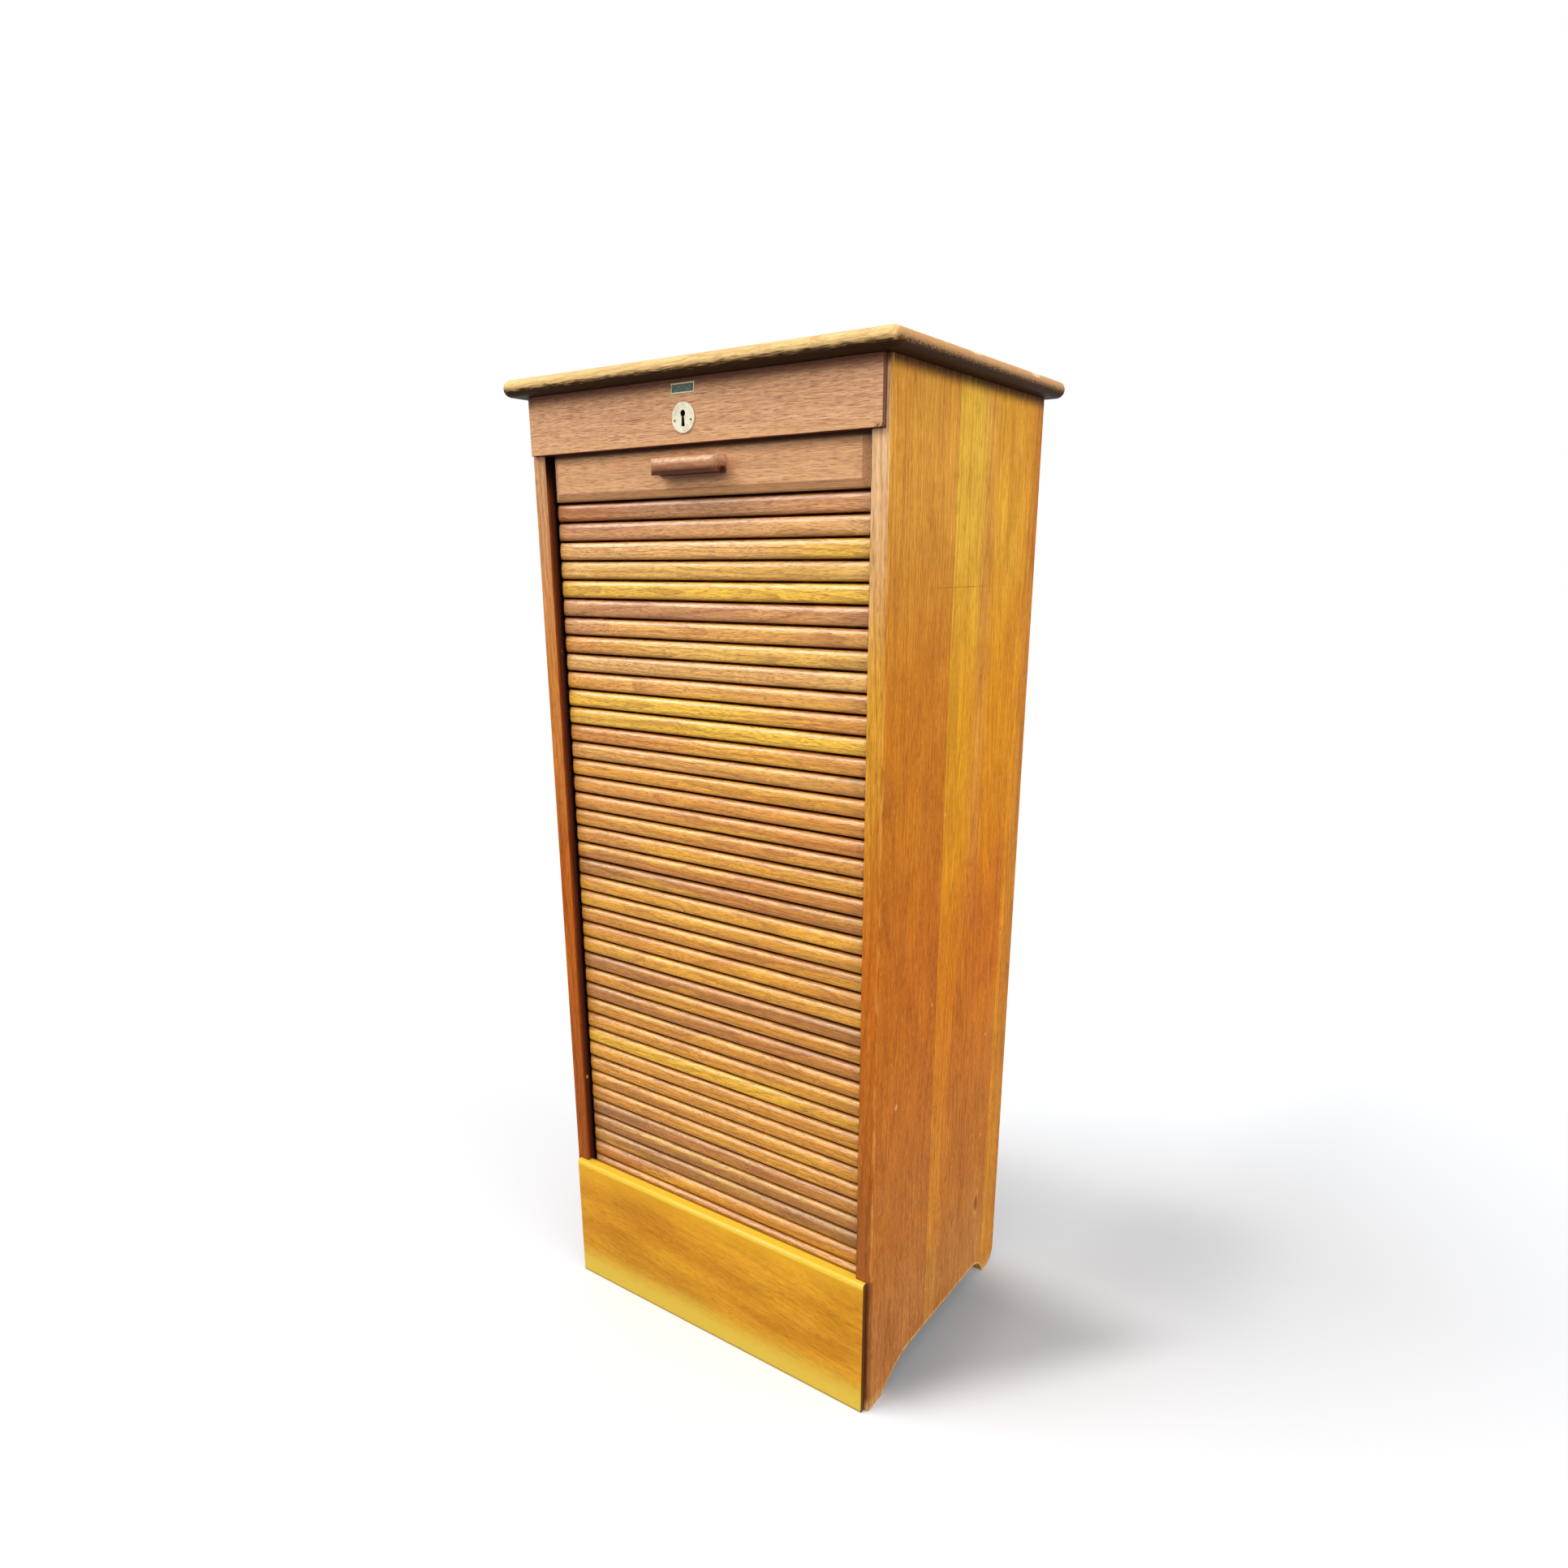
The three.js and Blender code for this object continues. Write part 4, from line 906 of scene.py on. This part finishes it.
def slat_layers(mesh, number, low, high, rng):
    """Writes each vertex's tone with painted light and shade, the place in the tree that it is cut from, its
    painted shade and its rays.
    """
    middle = (low.z + high.z) / 2
    chord = (high.z - low.z) / 2 - SLAT_DROP
    tone = SLAT_TONES[number - 1]
    main, right, left, gold, pale = (Vector(TONES[name][:3]) for name in (
        tone, RIGHT_ENDS.get(number, tone), LEFT_ENDS.get(number, tone), "marigold", "pale"))
    sink = max(0.0, (CURTAIN_TOP - middle) / CURTAIN_HEIGHT)
    # Lower slats are painted darker: painted shade where less light falls
    level = 1.02 * (1.0 - 0.10 * sink)
    place = (rng.random(), rng.random(), rng.random(), 1.0)
    offset = rng.uniform(-END_WANDER, END_WANDER)
    # Painted light and shade by height
    tint = TINT_HIGH.lerp(TINT_LOW, min(1.0, sink * 1.3))
    patches = 0.25 if number < 10 else 0.9
    # Painted shade starts at this share of the way to the upper edge, where the slat above shades it, and
    # lower on the slat under the lead rail
    shade_start = 0.62 if number == 1 else 0.90
    tones, cuts, painted_shades = [], [], []
    for vertex in mesh.vertices:
        x, y, z = vertex.co
        t = (z - middle + SLAT_DROP) / chord
        colour = main.lerp(right, ease(x, RIGHT_END_START + offset, RIGHT_END_RUN) if x > 0 else 0.0)
        colour = colour.lerp(left, ease(-x, LEFT_END_START + offset, LEFT_END_RUN) if x < 0 else 0.0)
        patch = noise.noise(Vector((x * 7, number * 1.9, t * 0.7)))
        colour = colour.lerp(gold, max(0.0, min(0.5, patch * 1.4 - 0.12)) * patches)
        drift = 1 + 0.07 * noise.noise(Vector((x * 6, number * 2.3, 0.3)))
        colour = Vector([min(0.93, c * k * level * drift) for c, k in zip(colour, tint)])
        # Painted highlight along the crest
        painted_highlight = math.exp(-((t - CREST) / CREST_WIDTH) ** 2)
        colour = colour.lerp(pale, 0.34 * painted_highlight * (0.8 + 0.4 * rng.random()))
        tones += list(colour) + [1.0]
        cuts += place
        # Painted shade: under the slat above, along the lower edge, at the ends in the grooves, and on the
        # hidden back
        upper = 0.95 * max(0.0, (t - shade_start) / (1 - shade_start))
        lower = 0.45 * max(0.0, (-t - 0.94) / 0.06)
        at_end = 0.6 * max(0.0, (abs(x) - 215.5 * MM) / (3.5 * MM))
        behind = y > low.y + SLAT_RISE - 0.5 * MM
        painted_shades.append(1.0 if behind else min(1.0, max(upper, lower, at_end)))
    for name, values in (("tone", tones), ("cut", cuts)):
        mesh.attributes.new(name, "FLOAT_COLOR", "POINT").data.foreach_set("color", values)
    for name, values in (("painted_shade_mask", painted_shades), ("rays", [RAY_SLATS.get(number, 0.0)] * len(painted_shades))):
        mesh.attributes.new(name, "FLOAT", "POINT").data.foreach_set("value", values)


def slat(number):
    node = "slat_%02d" % number
    low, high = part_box(node)
    rng = random.Random(SLAT_SEED + number)
    rings = slat_rings(number, low, high, rng)
    made = mesh_piece("half_round_%02d" % number, rings, [slat_material, canvas_material],
                      cloth_indices(len(rings), len(rings[0])))
    smooth(made, 42)
    slat_layers(made.data, number, low, high, rng)
    stand_for(made, node, node)


for number in range(1, SLAT_COUNT + 1):
    slat(number)


# The top board: a worn bullnose round a flat board

TOP_CORNER = 12 * MM
TOP_NOSE = 9.5 * MM
TOP_RIPPLE = 0.35 * MM
TOP_STEP = 12 * MM
CORNER_STEPS = 8
NOSE_STEPS = 12


def top_outline():
    """Points round the board, each with its outward direction: round corners and straight sides."""
    corners = []
    for side, end, start in ((1, -1, -90), (1, 1, 0), (-1, 1, 90), (-1, -1, 180)):
        for k in range(CORNER_STEPS + 1):
            turn = math.radians(start + 90 * k / CORNER_STEPS)
            corners.append((side * (TOP_HIGH.x - TOP_CORNER) + TOP_CORNER * math.cos(turn),
                            end * (TOP_HIGH.y - TOP_CORNER) + TOP_CORNER * math.sin(turn),
                            math.cos(turn), math.sin(turn)))
    outline = []
    for i, here in enumerate(corners):
        outline.append(here)
        there = corners[(i + 1) % len(corners)]
        cuts = int(math.dist(here[:2], there[:2]) / TOP_STEP)
        for k in range(1, cuts):
            outline.append(tuple(a + (b - a) * k / cuts for a, b in zip(here, there)))
    return outline


def top_board():
    middle = (TOP_LOW.z + TOP_HIGH.z) / 2
    half = (TOP_HIGH.z - TOP_LOW.z) / 2
    outline = top_outline()
    rings = []
    for k in range(NOSE_STEPS + 1):
        turn = math.pi * k / NOSE_STEPS
        z = middle - half * math.cos(turn)
        ring = []
        for x, y, out_x, out_y in outline:
            ripple = TOP_RIPPLE * noise.noise(Vector((x * 14, y * 14, z * 60))) * math.sin(turn)
            inward = TOP_NOSE * (1 - math.sin(turn) ** 0.92) + abs(ripple)
            size = max(1e-9, math.hypot(out_x, out_y))
            ring.append(Vector((x - out_x / size * inward, y - out_y / size * inward, z)))
        rings.append(ring)
    made = mesh_piece("top_bullnose", rings, [top_material])
    smooth(made, 50)
    stand_for(made, "top_board", "carcass")


top_material = oak("top oak", "X", shade(234, 200, 136), rings=0.5, dashes=0.4, paint=top_paint, sheen=0.06)
top_board()


# The pieces that keep their CAD shape

side_material = oak("side oak", "Z", side_tone, bands=0.4, rings=0.5, streaks=0.7, dashes=0.45,
                    dash_scale=(60.0, 1900.0), waviness=0.007, paint=side_paint, sheen=0.08)
header_material = oak("header oak", "X", shade(221, 168, 125), bands=0.25, rings=0.2, streaks=0.7,
                      dashes=0.7, waviness=0.004, paint=header_paint)
lead_material = oak("lead rail oak", "X", shade(224, 170, 122), bands=0.3, rings=0.2, streaks=0.6,
                    dashes=0.55, waviness=0.004, paint=lead_paint)
plinth_material = oak("plinth oak", "X", shade(219, 153, 40), bands=0.4, streaks=0.4, dashes=0.4,
                      paint=plinth_paint, sheen=0.12, shift=plinth_shift)
inside_material = oak("inner oak", "X", shade(198, 152, 98), rings=0.4, dashes=0.5)
upright_material = oak("false back oak", "Z", shade(192, 146, 92), bands=0.6, streaks=0.4, dashes=0.5)
back_material = oak("back panel ply", "Z", shade(206, 160, 108), bands=0.8, rings=0.5, dashes=0.4)
pull_material = oak("pull oak", "X", shade(180, 124, 84), rings=0.6, streaks=0.7, dashes=0.4,
                    paint=pull_paint, gloss=0.12)
steel_material = metal("dull steel", shade(150, 146, 138), shade(96, 88, 78), 0.7, 0.42)
brass_material = metal("rubbed brass", shade(228, 221, 196), shade(186, 170, 128), 0.5, 0.42, 0.35)
pin_material = metal("pin brass", shade(122, 100, 66), shade(66, 50, 30), 0.6, 0.4)

# Nodes, their material, the width of their softened edges in millimetres and its segments
for names, material, width, segments in (
    ("side_panel_left side_panel_right", side_material, 0.8, 2),
    ("header_board", header_material, 0.6, 2),
    ("plinth_board", plinth_material, 0.9, 2),
    ("lead_rail", lead_material, 0.5, 2),
    ("pull_handle", pull_material, 0.9, 3),
    ("deck_board shelf_1 shelf_2 top_rail", inside_material, 0.7, 2),
    ("false_back", upright_material, 0.4, 2),
    ("back_panel", back_material, 0.4, 2),
    ("lock_case lock_hook", steel_material, 0.3, 2),
    ("strike_plate", brass_material, 0.2, 2),
    ("escutcheon", brass_material, 0.0, 2),
    ("escutcheon_pin_left escutcheon_pin_right", pin_material, 0.0, 2),
):
    for node in names.split():
        soften(node, material, width * MM, segments)


# The small plate over the keyhole, left bare

BADGE_X, BADGE_Z = mm(-2.6, 1160.25)
BADGE_HALF_WIDTH, BADGE_HALF_HEIGHT = mm(16, 5.25)
BADGE_WAIST_WIDTH, BADGE_WAIST_HEIGHT = mm(15.2, 3.2)
BADGE_RIM_SIDES, BADGE_RIM_HEIGHTS = mm(14.2, 14.8), mm(3.6, 4.1)
# How far each ring stands behind the header's face, and how far it is drawn in
BADGE_STEPS = (mm(0.02, 0.0), mm(-0.55, 0.0), mm(-0.8, 0.35))
BADGE_BUMP = 0.2 * MM
BADGE_PIN_ASIDE = 12.6 * MM
# The radius of each of a pin's rings, and how far it stands out
BADGE_PIN_STEPS = (mm(0.9, 0.7), mm(0.9, 0.95), mm(0.65, 1.2), mm(0.3, 1.3))
BADGE_PIN_SIDES = 12


def badge_plate_material():
    material = bpy.data.materials.new("badge plate")
    graph = Graph(material)
    across = graph.math("ABSOLUTE", graph.minus(graph.x, BADGE_X))
    up = graph.math("ABSOLUTE", graph.minus(graph.z, BADGE_Z))
    rim = graph.math("MAXIMUM", graph.span(across, *BADGE_RIM_SIDES), graph.span(up, *BADGE_RIM_HEIGHTS))
    wear = graph.noise(graph.point, 900)
    field = graph.mix(graph.span(wear, 0.4, 0.7), shade(58, 72, 62), shade(110, 120, 110))
    colour = graph.mix(rim, field, shade(196, 190, 160))
    graph.surface(colour, graph.span(wear, 0.3, 0.7, 0.3, 0.5), rim, BADGE_BUMP, 0.8, Metallic=0.6)
    return material


def badge_outline():
    """A plate drawn in a little at both sides."""
    wide, high, waist, notch = BADGE_HALF_WIDTH, BADGE_HALF_HEIGHT, BADGE_WAIST_WIDTH, BADGE_WAIST_HEIGHT
    return ((-wide, high), (wide, high), (waist, notch), (waist, -notch), (wide, -high), (-wide, -high),
            (-waist, -notch), (-waist, notch))


def badge():
    front = HEADER_LOW.y
    rings = []
    for out, inset in BADGE_STEPS:
        narrow, low = 1 - inset / BADGE_HALF_WIDTH, 1 - inset / BADGE_HALF_HEIGHT
        rings.append([Vector((BADGE_X + x * narrow, front + out, BADGE_Z + z * low))
                      for x, z in badge_outline()])
    plate = mesh_piece("badge_plate", rings, [badge_plate_material()])
    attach(plate, "carcass")
    for name, side in (("left", -1), ("right", 1)):
        rings = []
        for radius, out in BADGE_PIN_STEPS:
            turns = [math.tau * k / BADGE_PIN_SIDES for k in range(BADGE_PIN_SIDES)]
            rings.append([Vector((BADGE_X + side * BADGE_PIN_ASIDE + radius * math.cos(turn), front - out,
                                  BADGE_Z + radius * math.sin(turn))) for turn in turns])
        pin = mesh_piece("badge_pin_" + name, rings, [pin_material])
        smooth(pin)
        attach(pin, "carcass")


badge()


# Floor, sky, lamps and camera

FLOOR_MIDDLE = (0.3, 0.25, 0.0)
FLOOR_FADE = (0.7, 1.5)
# Painted shade under the arch, wide shade to the right, and painted light on the floor behind, against the
# shadow there
CONTACT_SLANT = -0.8
CONTACT_FRONT, CONTACT_REAR = (0.32, 0.43), (0.08, 0.22)
CONTACT_LEFT, CONTACT_START = (-0.22, -0.10), (-0.19, -0.12)
CONTACT_FALL, CONTACT_SHARES = (0.25, 0.34), (0.48, 0.36)
WIDE_SIDES, WIDE_DEPTHS, WIDE_SHARE = (0.37, 0.56, 0.08), (0.20, 0.50, 0.08), 0.10
PAINTED_LIGHT_DEPTHS, PAINTED_LIGHT_SIDES, PAINTED_LIGHT_SHARE = (0.36, 0.52), (0.36, 0.62), 0.10


def painted_shade(graph):
    """How light the floor is: below 1 in the painted shade, above 1 where light is painted on the floor
    behind.
    """
    x, y = graph.x, graph.y
    front = graph.span(graph.plus(x, graph.times(y, CONTACT_SLANT)), *CONTACT_FRONT, 1, 0)
    contact = graph.times(front, graph.span(y, *CONTACT_REAR, 1, 0), graph.span(x, *CONTACT_LEFT),
                          graph.span(y, *CONTACT_START), graph.span(x, *CONTACT_FALL, *CONTACT_SHARES))
    wide = graph.times(graph.band(x, *WIDE_SIDES), graph.band(y, *WIDE_DEPTHS), WIDE_SHARE)
    # Painted light on the floor behind, lifting the shadow there
    painted_light = graph.times(graph.span(y, *PAINTED_LIGHT_DEPTHS), graph.span(x, *PAINTED_LIGHT_SIDES, 1, 0), PAINTED_LIGHT_SHARE)
    return graph.plus(graph.minus(1, graph.plus(contact, wide)), painted_light)


def floor():
    """White far off, where the camera sees it. Near by it keeps the shadow, and as light it is weaker."""
    material = bpy.data.materials.new("studio floor")
    graph = Graph(material)
    seen = graph.seen()
    mottle = graph.noise(graph.point, 2, 3)
    away = graph.vector("LENGTH", graph.vector("SUBTRACT", graph.point, FLOOR_MIDDLE))
    keep = graph.span(away, *FLOOR_FADE, 1, 0)
    near = painted_shade(graph)
    paper = graph.mix(mottle, FLOOR_COLOUR, tuple(channel * 1.01 for channel in FLOOR_COLOUR))
    paper = graph.scaled(paper, graph.join(near, near, near))
    bounce = graph.mix(mottle, (0.12, 0.12, 0.12, 1), (0.13, 0.13, 0.13, 1))
    diffuse = graph.add("BsdfDiffuse")
    graph.feed_named(diffuse, Color=graph.mix(seen, bounce, graph.mix(keep, (0, 0, 0, 1), paper)))
    low = graph.times(near, FLOOR_GLOW)
    glow = graph.add("Emission")
    graph.feed_named(glow, Color=graph.mix(keep, WHITE, graph.join(low, low, low)), Strength=seen)
    both = graph.add("AddShader")
    graph.feed_all(both, (diffuse.outputs[0], glow.outputs[0]))
    graph.close(both)
    mesh = bpy.data.meshes.new("floor")
    corners = [(x * FLOOR_HALF, y * FLOOR_HALF, 0) for x, y in ((-1, -1), (1, -1), (1, 1), (-1, 1))]
    mesh.from_pydata(corners, [], [(0, 1, 2, 3)])
    mesh.materials.append(material)
    made = put("floor", mesh)
    made.location.z = -FLOOR_DROP


def sky():
    """White where the camera looks. As light it is stronger from above."""
    world = bpy.data.worlds.new("studio")
    bpy.context.scene.world = world
    graph = Graph(world, "Generated")
    level = graph.span(graph.z, 0, 1, SKY_LOW, SKY_HIGH, "LINEAR")
    strength = graph.add("Mix")
    graph.feed_named(strength, Factor=graph.seen(), A=level, B=1)
    background = graph.add("Background")
    graph.feed_named(background, Color=WHITE, Strength=strength.outputs["Result"])
    graph.close(background, "World")


def sun(name, heading, elevation, level, spread):
    lamp = bpy.data.lights.new(name, "SUN")
    lamp.energy = level * math.pi
    lamp.angle = math.radians(spread)
    made = put(name, lamp)
    a, e = math.radians(heading), math.radians(elevation)
    towards = Vector((math.sin(a) * math.cos(e), -math.cos(a) * math.cos(e), math.sin(e)))
    made.rotation_mode = "QUATERNION"
    made.rotation_quaternion = towards.to_track_quat("Z", "Y")
    made.location = towards * LAMP_DISTANCE


def camera():
    data = bpy.data.cameras.new("camera")
    data.lens, data.sensor_width = CAMERA_LENS, CAMERA_SENSOR
    data.shift_x, data.shift_y = CAMERA_SHIFT_X, CAMERA_SHIFT_Y
    data.clip_start, data.clip_end = CAMERA_NEAR, CAMERA_FAR
    made = put("camera", data)
    heading, drop, roll = (math.radians(angle) for angle in (CAMERA_HEADING, CAMERA_DROP, CAMERA_ROLL))
    ahead = Vector((-math.sin(heading) * math.cos(drop), math.cos(heading) * math.cos(drop),
                    -math.sin(drop)))
    right = ahead.cross(Vector((0, 0, 1))).normalized()
    up = right.cross(ahead)
    right, up = right * math.cos(roll) + up * math.sin(roll), up * math.cos(roll) - right * math.sin(roll)
    turn = Matrix((right, up, -ahead)).transposed().to_4x4()
    made.matrix_world = Matrix.Translation(CAMERA_PLACE) @ turn
    bpy.context.scene.camera = made


floor()
sky()
for lamp in LAMPS:
    sun(*lamp)
camera()
bpy.context.scene.view_settings.view_transform = "Standard"
